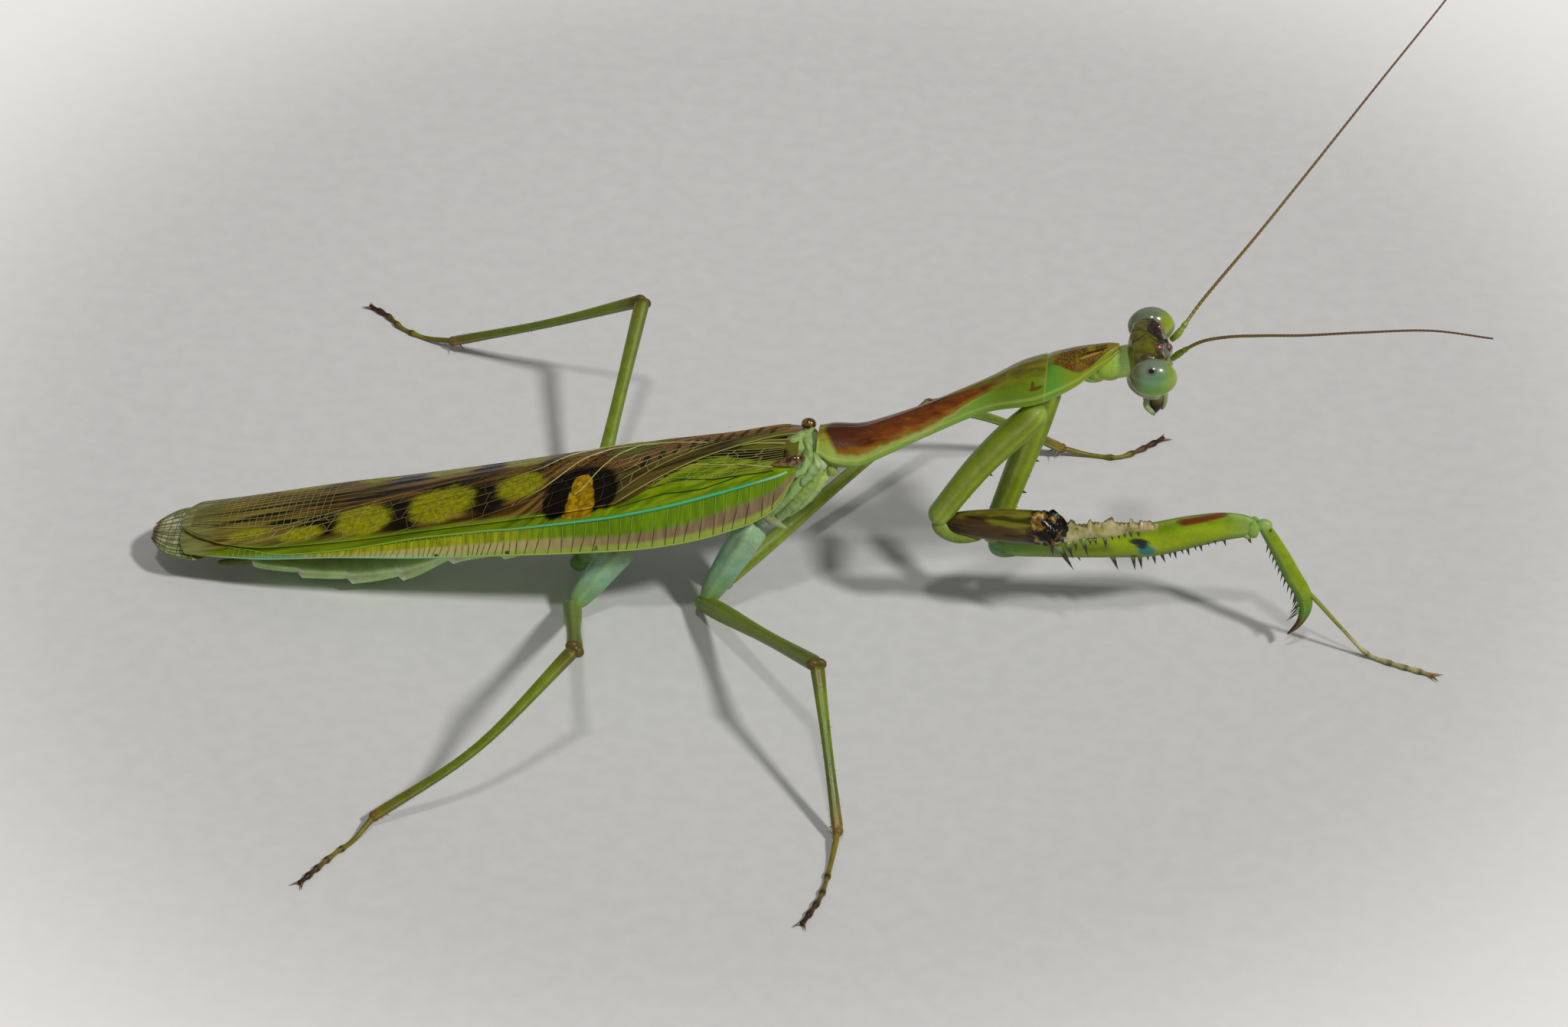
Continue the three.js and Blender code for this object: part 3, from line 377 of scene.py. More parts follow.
def shaft(start, end, radii, stops, bow=(0, 0, 0), **options):
    """A straight or bowed round limb between two joints."""
    middle = (np.array(start) + np.array(end)) / 2 + np.array(bow)
    last = len(radii) - 1
    rows = [[between(0.03, 0.97, k / last), r, r, r] for k, r in enumerate(radii)]
    rows.insert(0, [0, radii[0], radii[0], radii[0]])
    rows.append([1, radii[-1], radii[-1], radii[-1]])
    return limb([start, middle, end], rows, stops, **options)


def ball(centre, radii, tint=None, sides=20, rings=12, turn=None):
    """An egg-shaped body."""
    angles = around(sides)
    rows = []
    for level in np.linspace(0, np.pi, rings + 2)[1:-1]:
        row = np.stack([np.cos(angles) * np.sin(level), np.sin(angles) * np.sin(level),
                        np.full(sides, np.cos(level))], axis=1) * radii
        rows.append(row if turn is None else row @ np.array(turn).T)
    poles = np.array([[0, 0, radii[2]], [0, 0, -radii[2]]], float)
    poles = poles if turn is None else poles @ np.array(turn).T
    shape = loft(np.array(rows) + np.array(centre, float))
    shape.points[-2:] = poles + np.array(centre, float)
    shape.outward()
    shape.mark(limb_place=[0.0, 0.0, 0.5])
    return shape.mark(tint=colour(tint)) if tint is not None else shape


def crumpled(shape, depth=0.09, dark=0.3):
    """The same shape with its skin in small uneven folds, with olive shade painted into its tint where they
    go in.
    """
    p = shape.points
    waves = [np.sin(p @ np.array(way) + turn) for way, turn in
             (((5.1, 2.3, 3.2), 1.3), ((-2.6, 4.4, 3.9), 0.2), ((3.3, -3.1, 4.8), 2.1))]
    shape.points = p + depth * np.stack(waves, axis=1)
    # painted shade: olive mixed into the tint where the folds go in
    return shape.tinge(dark * smooth_step(waves[0] * waves[2], 0.1, 0.8), OLIVE)


def toward(start, end, distance):
    """A point a given distance from one joint toward the next."""
    start, end = np.array(start, float), np.array(end, float)
    return start + unit(end - start) * distance


# ---------- Blender meshes ----------


def keep(mesh, label, values):
    """Keeps a size, a place or a tint at every point of a mesh."""
    values = np.asarray(values, float)
    kind, field = ("FLOAT", "value") if values.ndim == 1 else ("FLOAT_VECTOR", "vector")
    if label == "tint":
        kind, field = "FLOAT_COLOR", "color"
        values = np.concatenate([values, np.ones((len(values), 1))], axis=1)
    mesh.attributes.new(label, kind, "POINT").data.foreach_set(field, values.ravel())


def shown(name, data):
    """A new object in the scene."""
    made = bpy.data.objects.new(name, data)
    bpy.context.scene.collection.objects.link(made)
    return made


def baked(obj):
    """Gives an object the plain mesh that its modifiers make, and takes them off."""
    view = bpy.context.evaluated_depsgraph_get()
    mesh = bpy.data.meshes.new_from_object(obj.evaluated_get(view))
    obj.modifiers.clear()
    obj.data = mesh
    return obj


def mesh_object(name, shape, sharp=38.0):
    """A mesh in metres in the shared frame, with the shape's values kept as attributes."""
    mesh = bpy.data.meshes.new(name)
    mesh.from_pydata(((shape.points - CENTRE) * MM).tolist(), [], shape.faces)
    for label, values in shape.marks.items():
        keep(mesh, label, values)
    mesh.shade_smooth()
    mesh.set_sharp_from_angle(angle=math.radians(sharp))
    mesh.validate()
    return shown(name, mesh)


def settle(obj, slot, *nodes):
    """Puts a finished piece on the insect, in place of the solids it stands for."""
    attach(obj, "root")
    if nodes:
        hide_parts(*nodes)
    return obj


def coat(obj, material):
    obj.data.materials.clear()
    obj.data.materials.append(material)
    return obj


def fused(name, shapes, sharp=38.0):
    """All shapes as one closed skin; each new point takes the values of the nearest old one."""
    parts = bpy.data.collections.new(name + "_parts")
    bpy.context.scene.collection.children.link(parts)
    whole = mesh_object(name, shapes[0], sharp)
    for k, shape in enumerate(shapes[1:]):
        part = mesh_object(f"{name}_part_{k}", shape, sharp)
        bpy.context.scene.collection.objects.unlink(part)
        parts.objects.link(part)
    union = whole.modifiers.new("Union", "BOOLEAN")
    union.operation = "UNION"
    union.operand_type = "COLLECTION"
    union.solver = "MANIFOLD"
    union.collection = parts
    mesh = baked(whole).data
    for part in list(parts.objects):
        bpy.data.objects.remove(part)
    bpy.data.collections.remove(parts)
    old = joined(shapes)
    places = (old.points - CENTRE) * MM
    tree = kdtree.KDTree(len(places))
    for k, place in enumerate(places):
        tree.insert(place, k)
    tree.balance()
    nearest = [tree.find(vertex.co)[1] for vertex in mesh.vertices]
    for label in [a.name for a in mesh.attributes if a.name in old.marks]:
        mesh.attributes.remove(mesh.attributes[label])
    for label in ("tint", "limb_place"):
        keep(mesh, label, old.marks[label][nearest])
    mesh.shade_smooth()
    mesh.set_sharp_from_angle(angle=math.radians(sharp))
    return whole


# ---------- Geometry Nodes: ribs along lines, and thorns set on points ----------


def geometry_tree(name, **inputs):
    """An empty tree with one geometry in and out, and named inputs of [kind, value]."""
    tree = bpy.data.node_groups.new(name, "GeometryNodeTree")
    for way in ("INPUT", "OUTPUT"):
        tree.interface.new_socket("Geometry", in_out=way, socket_type="NodeSocketGeometry")
    for label, (kind, value) in inputs.items():
        socket = tree.interface.new_socket(label, in_out="INPUT", socket_type="NodeSocket" + kind)
        if value is not None:
            socket.default_value = value
    return tree, tree.nodes.new("NodeGroupInput"), tree.nodes.new("NodeGroupOutput")


def step(tree, kind, inputs=None, **settings):
    """A node with its settings and the steady values of its inputs."""
    node = tree.nodes.new(kind)
    for label, value in settings.items():
        setattr(node, label, value)
    for label, value in (inputs or {}).items():
        node.inputs[label].default_value = value
    return node


def named(tree, label, data_type="FLOAT"):
    return step(tree, "GeometryNodeInputNamedAttribute", {"Name": label}, data_type=data_type)


def wire(tree, rows):
    """Links made by rows of [node, its output, next node, its input]."""
    for node, output, after, entry in rows:
        tree.links.new(node.outputs[output], after.inputs[entry])


def ribs_tree():
    """Turns edges into round ribs whose thickness follows the attribute rib_size."""
    tree, given, result = geometry_tree("ribs", Thickness=("Float", MM), Sides=("Int", 5),
                                        Finish=("Material", None))
    line = step(tree, "GeometryNodeMeshToCurve")
    size = named(tree, "rib_size")
    outline = step(tree, "GeometryNodeCurvePrimitiveCircle")
    skin = step(tree, "GeometryNodeCurveToMesh", {"Fill Caps": True})
    smooth = step(tree, "GeometryNodeSetShadeSmooth")
    real = step(tree, "GeometryNodeRealizeInstances")
    finish = step(tree, "GeometryNodeSetMaterial")
    wire(tree, [
        (given, "Geometry", line, "Mesh"), (given, "Thickness", outline, "Radius"),
        (given, "Sides", outline, "Resolution"), (line, "Curve", skin, "Curve"),
        (outline, "Curve", skin, "Profile Curve"), (size, "Attribute", skin, "Scale"),
        (skin, "Mesh", smooth, "Geometry"), (smooth, "Geometry", real, "Geometry"),
        (real, "Geometry", finish, "Geometry"), (given, "Finish", finish, "Material"),
        (finish, "Geometry", result, "Geometry")])
    return tree


def thorns_tree():
    """Sets a bent, tapered thorn on every point, along thorn_way and as wide as thorn_width."""
    tree, given, result = geometry_tree("thorns", Sides=("Int", 8), Steps=("Int", 5),
                                        Bend=("Float", 0.12), Finish=("Material", None))
    cone = step(tree, "GeometryNodeMeshCone", {"Radius Top": 0.0, "Radius Bottom": 1.0, "Depth": 1.0})
    place = step(tree, "GeometryNodeInputPosition")
    apart = step(tree, "ShaderNodeSeparateXYZ")
    square = step(tree, "ShaderNodeMath", operation="MULTIPLY")
    sway = step(tree, "ShaderNodeMath", operation="MULTIPLY")
    offset = step(tree, "ShaderNodeCombineXYZ")
    tips = step(tree, "GeometryNodeStoreNamedAttribute", {"Name": "tip"}, data_type="FLOAT")
    bend = step(tree, "GeometryNodeSetPosition")
    way = named(tree, "thorn_way", "FLOAT_VECTOR")
    width = named(tree, "thorn_width")
    turn = step(tree, "FunctionNodeAlignRotationToVector", axis="Z")
    length = step(tree, "ShaderNodeVectorMath", operation="LENGTH")
    size = step(tree, "ShaderNodeCombineXYZ")
    planted = step(tree, "GeometryNodeInstanceOnPoints")
    real = step(tree, "GeometryNodeRealizeInstances")
    smooth = step(tree, "GeometryNodeSetShadeSmooth")
    finish = step(tree, "GeometryNodeSetMaterial")
    wire(tree, [
        (given, "Sides", cone, "Vertices"), (given, "Steps", cone, "Side Segments"),
        (place, "Position", apart, "Vector"), (apart, "Z", square, 0), (apart, "Z", square, 1),
        (square, 0, sway, 0), (given, "Bend", sway, 1), (sway, 0, offset, "X"),
        (cone, "Mesh", tips, "Geometry"), (apart, "Z", tips, "Value"),
        (tips, "Geometry", bend, "Geometry"), (offset, "Vector", bend, "Offset"),
        (way, "Attribute", turn, "Vector"), (way, "Attribute", length, 0),
        (width, "Attribute", size, "X"), (width, "Attribute", size, "Y"), (length, "Value", size, "Z"),
        (given, "Geometry", planted, "Points"), (bend, "Geometry", planted, "Instance"),
        (turn, "Rotation", planted, "Rotation"), (size, "Vector", planted, "Scale"),
        (planted, "Instances", real, "Geometry"), (real, "Geometry", smooth, "Geometry"),
        (smooth, "Geometry", finish, "Geometry"), (given, "Finish", finish, "Material"),
        (finish, "Geometry", result, "Geometry")])
    return tree


def grown(name, source, tree, **values):
    """Runs a Geometry Nodes tree on a source mesh and returns the plain mesh it grows."""
    made = shown(name, source)
    modifier = made.modifiers.new("Growth", "NODES")
    modifier.node_group = tree
    for socket in tree.interface.items_tree:
        if socket.in_out == "INPUT" and socket.name in values:
            modifier[socket.identifier] = values[socket.name]
    return baked(made)


RIBS = ribs_tree()
THORNS = thorns_tree()


def ribs(name, lines, material, sides=5):
    """Ribs along lines, each its points, radii, the wing_place of every point and a kind."""
    mesh = bpy.data.meshes.new(name + "_lines")
    points, edges, radii, places, kinds = [], [], [], [], []
    for line, radius, marks, kind in lines:
        start = len(points)
        points += list(line)
        radii += list(radius)
        places += list(marks)
        kinds += [[kind, 0, 0]] * len(line)
        edges += [(start + k, start + k + 1) for k in range(len(line) - 1)]
    mesh.from_pydata(((np.array(points) - CENTRE) * MM).tolist(), edges, [])
    for label, values in [("rib_size", radii), ("wing_place", places), ("rib_kind", kinds)]:
        keep(mesh, label, values)
    return grown(name, mesh, RIBS, Thickness=MM, Sides=sides, Finish=material)


def thorns(name, rows, material, sides=8, bend=0.12):
    """Thorns from rows of [root, way with its length, radius]."""
    mesh = bpy.data.meshes.new(name + "_roots")
    roots, ways, widths = (np.array([row[k] for row in rows], float) for k in range(3))
    mesh.from_pydata(((roots - CENTRE) * MM).tolist(), [], [])
    keep(mesh, "thorn_way", ways * MM)
    keep(mesh, "thorn_width", widths * MM)
    return grown(name, mesh, THORNS, Sides=sides, Steps=5, Bend=bend, Finish=material)


# ---------- materials ----------


class Finish:
    """Writes one material's nodes; every call gives a socket that the next may use."""

    def __init__(self, name):
        self.material = bpy.data.materials.new(name)
        self.material.use_nodes = True
        self.tree = self.material.node_tree
        self.shader = self.tree.nodes["Principled BSDF"]
        self.place = self._node("ShaderNodeTexCoord").outputs["Object"]

    def _node(self, kind, **settings):
        node = self.tree.nodes.new(kind)
        for label, value in settings.items():
            setattr(node, label, value)
        return node

    def _feed(self, socket, value):
        if isinstance(value, bpy.types.NodeSocket):
            self.tree.links.new(value, socket)
        elif socket.type == "RGBA":
            socket.default_value = (*(colour(value) if isinstance(value, str) else value), 1)
        else:
            socket.default_value = value

    def attribute(self, name, output="Fac"):
        return self._node("ShaderNodeAttribute", attribute_name=name).outputs[output]

    def apart(self, vector):
        node = self._node("ShaderNodeSeparateXYZ")
        self._feed(node.inputs[0], vector)
        return node.outputs

    def together(self, x, y, z=0.0):
        node = self._node("ShaderNodeCombineXYZ")
        for socket, value in zip(node.inputs, (x, y, z)):
            self._feed(socket, value)
        return node.outputs[0]

    def math(self, operation, a, b=0.0):
        node = self._node("ShaderNodeMath", operation=operation)
        self._feed(node.inputs[0], a)
        self._feed(node.inputs[1], b)
        return node.outputs[0]

    plus, minus = partialmethod(math, "ADD"), partialmethod(math, "SUBTRACT")
    times, larger = partialmethod(math, "MULTIPLY"), partialmethod(math, "MAXIMUM")
    size_of = partialmethod(math, "ABSOLUTE")

    def vector(self, operation, a, b=(0, 0, 0)):
        node = self._node("ShaderNodeVectorMath", operation=operation)
        self._feed(node.inputs[0], a)
        self._feed(node.inputs[1], b)
        return node.outputs["Value" if operation == "LENGTH" else "Vector"]

    def fade(self, value, start, end, low=0.0, high=1.0):
        node = self._node("ShaderNodeMapRange", interpolation_type="SMOOTHSTEP")
        for socket, given in zip(node.inputs, (value, start, end, low, high)):
            self._feed(socket, given)
        return node.outputs[0]

    def blend(self, share, a, b, mode="MIX"):
        node = self._node("ShaderNodeMix", data_type="RGBA", blend_type=mode)
        for entry, value in ((0, share), (6, a), (7, b)):       # the colour mix uses these three sockets
            self._feed(node.inputs[entry], value)
        return node.outputs[2]

    def paint(self, ground, cover, value, start, end, most=1.0):
        """A ground that goes over to its cover, by at most a share, as a value goes from start to end."""
        return self.blend(self.fade(value, start, end, 0.0, most), ground, cover)

    def rough(self, cloud, low, high):
        """A roughness that follows a cloud of noise."""
        return self.fade(cloud, 0.3, 0.7, low, high)

    def scaled(self, ground, by):
        return self.blend(1.0, ground, by, "MULTIPLY")

    def _texture(self, node, size, place, stretch, **values):
        """A texture of about a size in millimetres, over the insect or over a place of its own."""
        at = self.place if place is None else place
        if stretch != (1, 1, 1):
            at = self.vector("MULTIPLY", at, stretch)
        scale = (1000.0 if place is None else 1.0) / size
        for label, value in {"Vector": at, "Scale": scale, **values}.items():
            self._feed(node.inputs[label], value)
        return node

    def noise(self, size, detail=3.0, place=None, stretch=(1, 1, 1)):
        """Cloudy noise."""
        node = self._node("ShaderNodeTexNoise")
        return self._texture(node, size, place, stretch, Detail=detail).outputs["Fac"]

    def cells(self, size, feature="DISTANCE_TO_EDGE", place=None, stretch=(1, 1, 1), randomness=1.0):
        """Distances in a pattern of cells."""
        node = self._node("ShaderNodeTexVoronoi", feature=feature)
        return self._texture(node, size, place, stretch, Randomness=randomness).outputs["Distance"]

    def bump(self, height, depth, strength=0.6, under=None):
        """Relief of a depth in millimetres."""
        node = self._node("ShaderNodeBump")
        self._feed(node.inputs["Strength"], strength)
        self._feed(node.inputs["Distance"], depth * MM)
        self._feed(node.inputs["Height"], height)
        if under is not None:
            self._feed(node.inputs["Normal"], under)
        return node.outputs[0]

    def done(self, base, roughness, normal=None, **steady):
        self._feed(self.shader.inputs["Base Color"], base)
        self._feed(self.shader.inputs["Roughness"], roughness)
        if normal is not None:
            self._feed(self.shader.inputs["Normal"], normal)
        for label, value in steady.items():
            self.shader.inputs[label.replace("_", " ")].default_value = value
        return self.material


def skin_material(name, mottle=0.25, roughness=0.36, speck=None, freckles=0.0):
    """Waxy insect skin: the tint of each place, clouded, finely pitted and softly shining."""
    f = Finish(name)
    tint = f.attribute("tint", "Color")
    cloud = f.noise(1.3, 4)
    dark = f.scaled(tint, (0.5, 0.56, 0.42))
    base = f.paint(tint, dark, cloud, 0.62, 0.38, mottle * 2)
    fine = f.noise(0.22, 3)
    base = f.paint(base, f.scaled(tint, (1.35, 1.3, 1.2)), fine, 0.45, 0.7, 0.3)
    if speck is not None:
        spots = f.cells(0.5, "F1")
        base = f.paint(base, speck, spots, 0.2, 0.1, freckles)
    pits = f.cells(0.12, "F1")
    relief = f.bump(pits, 0.012, 0.5)
    relief = f.bump(f.noise(0.5, 4), 0.05, 0.35, relief)
    gloss = f.rough(cloud, roughness - 0.06, roughness + 0.1)
    return f.done(base, gloss, relief, Specular_IOR_Level=0.24, Coat_Weight=0.05, Coat_Roughness=0.2,
                  Subsurface_Weight=0.1, Subsurface_Radius=(0.6, 1.0, 0.35), Subsurface_Scale=0.35 * MM)


def plain_material(name, base, roughness=0.4, **steady):
    f = Finish(name)
    cloud = f.noise(0.6, 4)
    shade = f.scaled(base, (0.6, 0.6, 0.55))
    paint = f.paint(shade, base, cloud, 0.35, 0.65)
    return f.done(paint, f.rough(cloud, roughness - 0.08, roughness + 0.1),
                  f.bump(f.noise(0.15, 3), 0.02, 0.5), **steady)


SKIN = skin_material("waxy_green_skin", mottle=0.2, roughness=0.4)

# ---------- the skin: neck, prothorax, thorax, abdomen and legs ----------


def trunk(table, stops, sides=40, step=0.25, grow=0.0, outline=plain_outline):
    """A body along X over a smoothed table, with rounded ends."""
    first, last = table[0][0], table[-1][0]
    reach = abs(last - first)
    count = max(8, int(reach / step))
    angles = around(sides)
    keel = outline(angles)
    rings, tints, places = [], [], []
    for share in rounded_shares(count):
        x = between(first, last, share)
        _, level, wide, rise, depth = smooth_row(table, x)
        tall = np.where(np.sin(angles) > 0, rise + grow, depth + grow)
        rings.append(np.stack([np.full(sides, x), np.cos(angles) * (wide + grow) * keel,
                               level + np.sin(angles) * tall * keel], axis=1))
        tints.append([gradient(stops, share)] * sides)
        places.append([[x, angle, wide] for angle in angles])
    return loft(rings, tint=tints, limb_place=places)


ABDOMEN_PAINTS = ("#7d9850", "#b4e08c", "#f6fae6", "#b49c80")
BACK, BELLY, BELLY_EDGE, SIDE_SEAM = (np.array(colour(paint)) for paint in ABDOMEN_PAINTS)


def abdomen_shape():
    """Overlapping plates: each flares at its hind edge, with a folded side seam between back and belly."""
    sides, rows_each = 56, 12
    angles = around(sides)
    rise_of, low = np.sin(angles), smooth_step(-np.sin(angles), -0.1, 0.3)
    first, last = ABDOMEN[0][0], ABDOMEN[-1][0]
    plates = int((first - last) / BELLY_PLATE)
    rings, tints, places = [], [], []
    fold = np.exp(-((rise_of + 0.3) / 0.17) ** 2)
    for plate in range(plates + 1):
        for k in range(rows_each):
            share = k / (rows_each - 1) * 0.99
            x = first - (plate + share) * BELLY_PLATE
            if x < last + 0.02:
                break
            _, level, wide, rise, depth = smooth_row(ABDOMEN, x)
            slope = share if share < 0.93 else (1 - share) / 0.07 * 0.93
            flare = (0.12 + 0.3 * low) * slope - 0.12 * low
            close = math.sqrt(max(0.02, 1 - smooth_step(last + 1.2 - x, 0, 1.2) ** 2))
            squeeze = 1 - 0.1 * fold * (0.4 + 0.6 * slope)
            tall = np.where(rise_of > 0, rise, depth)
            rings.append(np.stack([np.full(sides, x), np.cos(angles) * (wide + flare) * close * squeeze,
                                   level + rise_of * (tall + flare) * close * squeeze], axis=1))
            below = smooth_step(-rise_of, -0.1, 0.15)[:, None]
            edge = 0.75 * smooth_step(share, 0.82, 0.93)
            belly = BELLY * (1 - edge) + BELLY_EDGE * edge
            tint = BACK * (1 - below) + belly * below
            seam = (fold * (0.3 + 0.4 * smooth_step(share, 0.1, 0.8)))[:, None]
            tints.append(tint * (1 - seam) + SIDE_SEAM * seam)
            places.append([[x, angle, wide] for angle in angles])
    return loft(rings, tint=tints, limb_place=places)


def walking_leg_shapes(name, leg):
    """Coxa, trochanter, femur, knee lobes and tibia of one walking leg."""
    hind = name.startswith("hind")
    base, joint, knee, heel = (np.array(leg[k], float) for k in ("base", "trochanter", "knee", "heel"))
    blade = [[0, 0.85, 1.1, 1.1], [0.12, 0.94, 1.24, 1.16], [0.35, 0.82, 1.14, 1.1],
             [0.7, 0.62, 0.94, 0.94], [0.9, 0.6, 0.76, 0.76], [1, 0.55, 0.6, 0.6]]
    shapes = [limb([base, toward(joint, base, 0.2)], blade,
                   [[0, "#9dbd98"], [0.5, MINT], [0.85, "#749a62"], [1, "#6f8a3c"]],
                   outline=keeled(3, 0.2, 1.2 if leg["base"][1] < 0 else -1.2), sides=48, stations=44)]
    shapes.append(ball(joint, [0.72, 0.72, 0.72], "#6c9650" if hind else "#73892a"))
    shapes.append(ball(toward(joint, knee, 0.75), [0.62, 0.62, 0.6], "#86a86a" if hind else LEAF))
    thigh = [[0, "#7c9a4e" if hind else LEAF], [0.25, "#72851c"], [0.6, "#6a7a18"], [0.85, "#626f1e"],
             [1, OLIVE]]
    shapes.append(shaft(joint, knee, [0.66, 0.66, 0.58, 0.5, 0.48, 0.52, 0.56], thigh,
                        outline=keeled(4, 0.11, 0.4), sides=24, stations=64))
    aside, back = unit(np.cross(knee - joint, heel - knee)), unit(knee - joint)
    for side in (1, -1):
        lobe = knee + aside * side * 0.27 - back * 0.12
        shapes.append(ball(lobe, [0.5, 0.34, 0.46], "#54481a", 18, 12))
    shapes.append(limb([knee - back * 1.3, knee - back * 0.5, knee + back * 0.25],
                       [[0, 0.3, 0.3, 0.3], [0.5, 0.56, 0.54, 0.54], [1, 0.45, 0.45, 0.45]],
                       [[0, MOSS], [0.5, OLIVE], [1, "#4d4216"]], stations=20))
    shin = [[0, "#5a4f1a"], [0.06, OLIVE], [0.15, LEAF], [0.7, "#5c6a16"], [0.93, OLIVE], [1, TAN]] \
        if hind else [[0, "#5a4f1a"], [0.08, OLIVE], [0.2, LEAF], [0.6, MOSS], [0.85, OLIVE], [1, TAN]]
    shapes.append(shaft(knee, heel, [0.5, 0.42, 0.36, 0.34, 0.36, 0.4], shin, bow=leg["bow"],
                        outline=keeled(4, 0.09), sides=20, stations=64))
    shapes.append(ball(heel, [0.41, 0.41, 0.41], "#6d5420", 14, 8))
    return shapes


# Lengthwise bands on a grasping leg's coxa: [angle past its inner side, half width, colour, strength]. The
# two wide bands, olive-grey and pale yellow-green, are painted shade and painted light on its flat facets.
COXA_BANDS_AND_FACET_SHADE = [[0.35, 0.3, "#8a8c3c", 0.45], [-0.5, 0.22, "#9ab02c", 0.5],
                [-0.05, 0.09, "#7a6a34", 0.35]]


def fore_coxa_shape(leg, end_tint):
    stops = [[0, "#7c9638"], [0.1, "#70830e"], [0.35, "#768a14"], [0.7, "#7c900c"], [1, end_tint]]
    shape = shaft(leg["base"], toward(leg["trochanter"], leg["base"], 0.3),
                  [0.92, 1.02, 0.95, 0.88, 0.82], stops, bow=leg["bow"], outline=keeled(4, 0.07, 0.3),
                  sides=40, stations=64)
    angle = shape.marks["limb_place"][:, 1]
    # Mixes each band into the tint; the two wide ones are the facets' painted light and shade.
    for past, half, paint, strength in COXA_BANDS_AND_FACET_SHADE:
        shape.tinge(strength * np.exp(-((angle - (math.pi + past)) / half) ** 2), paint)
    return shape


def fore_trochanter_shape(leg, reach, drop, tint):
    """The boat-shaped piece that carries the thigh."""
    x, y, z = leg["trochanter"]
    return limb([[x + 0.25, y, z + 0.55], [x + 0.8, y, z - 0.1], [x + 1.8, y - 0.04, z - drop * 0.8],
                 [x + reach, y - 0.06, z - drop]],
                [[0, 0.6, 0.7, 0.6], [0.3, 0.86, 0.9, 0.72], [0.7, 0.7, 0.55, 0.6], [1, 0.3, 0.2, 0.25]],
                [[0, tint], [1, LEAF]], sides=24, stations=40)


def left_femur_shape():
    """The sound thigh: darker above, with a yellow-green band along its side."""
    stops = [[0, "#74a064"], [0.1, "#6d9638"], [0.3, "#728a08"], [0.85, "#6f8808"], [1, "#7c9a48"]]
    shape = limb(FORE_LEFT["thigh"], FORE_FEMUR, stops, sides=60, stations=130,
                 outline=keeled(4, 0.05, 0.25))
    angle = shape.marks["limb_place"][:, 1]
    share = shape.marks["limb_place"][:, 0] / shape.marks["limb_place"][:, 0].max()
    band = np.exp(-((np.abs(np.cos(angle)) - 1) / 0.2) ** 2) * smooth_step(share, 0.15, 0.4)
    return shape.tinge(band * smooth_step(share, 0.98, 0.85) * 0.85, "#96aa02")


def left_tibia_shape():
    """Yellow-green outside, blue-green inside, ending in a brown claw."""
    stops = [[0, "#7fa458"], [0.07, "#768c08"], [0.6, "#788f06"], [0.76, "#4f8224"], [0.86, BROWN],
             [1, DARK_BROWN]]
    shape = limb(TIBIA_PATH, TIBIA_ROWS, stops, sides=24, stations=80, outline=keeled(4, 0.06))
    angle, share = shape.marks["limb_place"][:, 1], shape.marks["limb_place"][:, 0]
    share = share / share.max()
    inner = smooth_step(-np.sin(angle), 0.1, 0.9) * smooth_step(share, 0.8, 0.6) * 0.55
    return shape.tinge(inner, "#3f8a50")


def daub(obj, spots):
    """Paints soft round spots of [centre, radii, colour, strength] into a skin's tint."""
    mesh = obj.data
    count = len(mesh.vertices)
    places = np.empty(count * 3)
    mesh.vertices.foreach_get("co", places)
    places = places.reshape(-1, 3) / MM + CENTRE
    tint = np.empty(count * 4)
    layer = mesh.attributes["tint"].data
    layer.foreach_get("color", tint)
    tint = tint.reshape(-1, 4)
    for centre, radii, paint, strength in spots:
        away = np.linalg.norm((places - np.array(centre)) / np.array(radii), axis=1)
        share = (strength * smooth_step(away, 1.0, 0.65))[:, None]
        tint[:, :3] = tint[:, :3] * (1 - share) + np.array(colour(paint)) * share
    layer.foreach_set("color", tint.ravel())


skin_shapes = [
    trunk(THORAX, [[0, "#7d9850"], [0.2, "#76985c"], [1, "#86ab84"]], grow=-0.02),
    trunk(PROTHORAX, [[0, "#7b9434"], [0.6, "#6f8c2c"], [1, "#7c9a40"]], grow=-0.14),
    limb(NECK_PATH, NECK_ROWS, [[0, "#93b64c"], [0.5, "#9dba48"], [0.8, "#a2c06c"],
                                [1, "#b6cc90"]], sides=28, stations=30, soft=False),
    ball([23.6, -0.72, 24.5], [0.95, 0.5, 0.75], "#90a83c"),
    ball([23.6, 0.72, 24.5], [0.95, 0.5, 0.75], "#90a83c"),
    ball([22.4, 0.0, 23.55], [1.0, 0.75, 0.4], "#8fac4a"),
    abdomen_shape(),
    crumpled(ball([1.6, 0, 15.6], [1.5, 1.3, 0.75], "#94ac6c", 36, 24), 0.06),
    crumpled(ball([0.7, 1.5, 14.9], [1.5, 0.8, 0.8], "#879c50", 36, 24), 0.06),
    crumpled(ball([0.7, -1.5, 14.9], [1.5, 0.8, 0.8], "#879c50", 36, 24), 0.06),
]
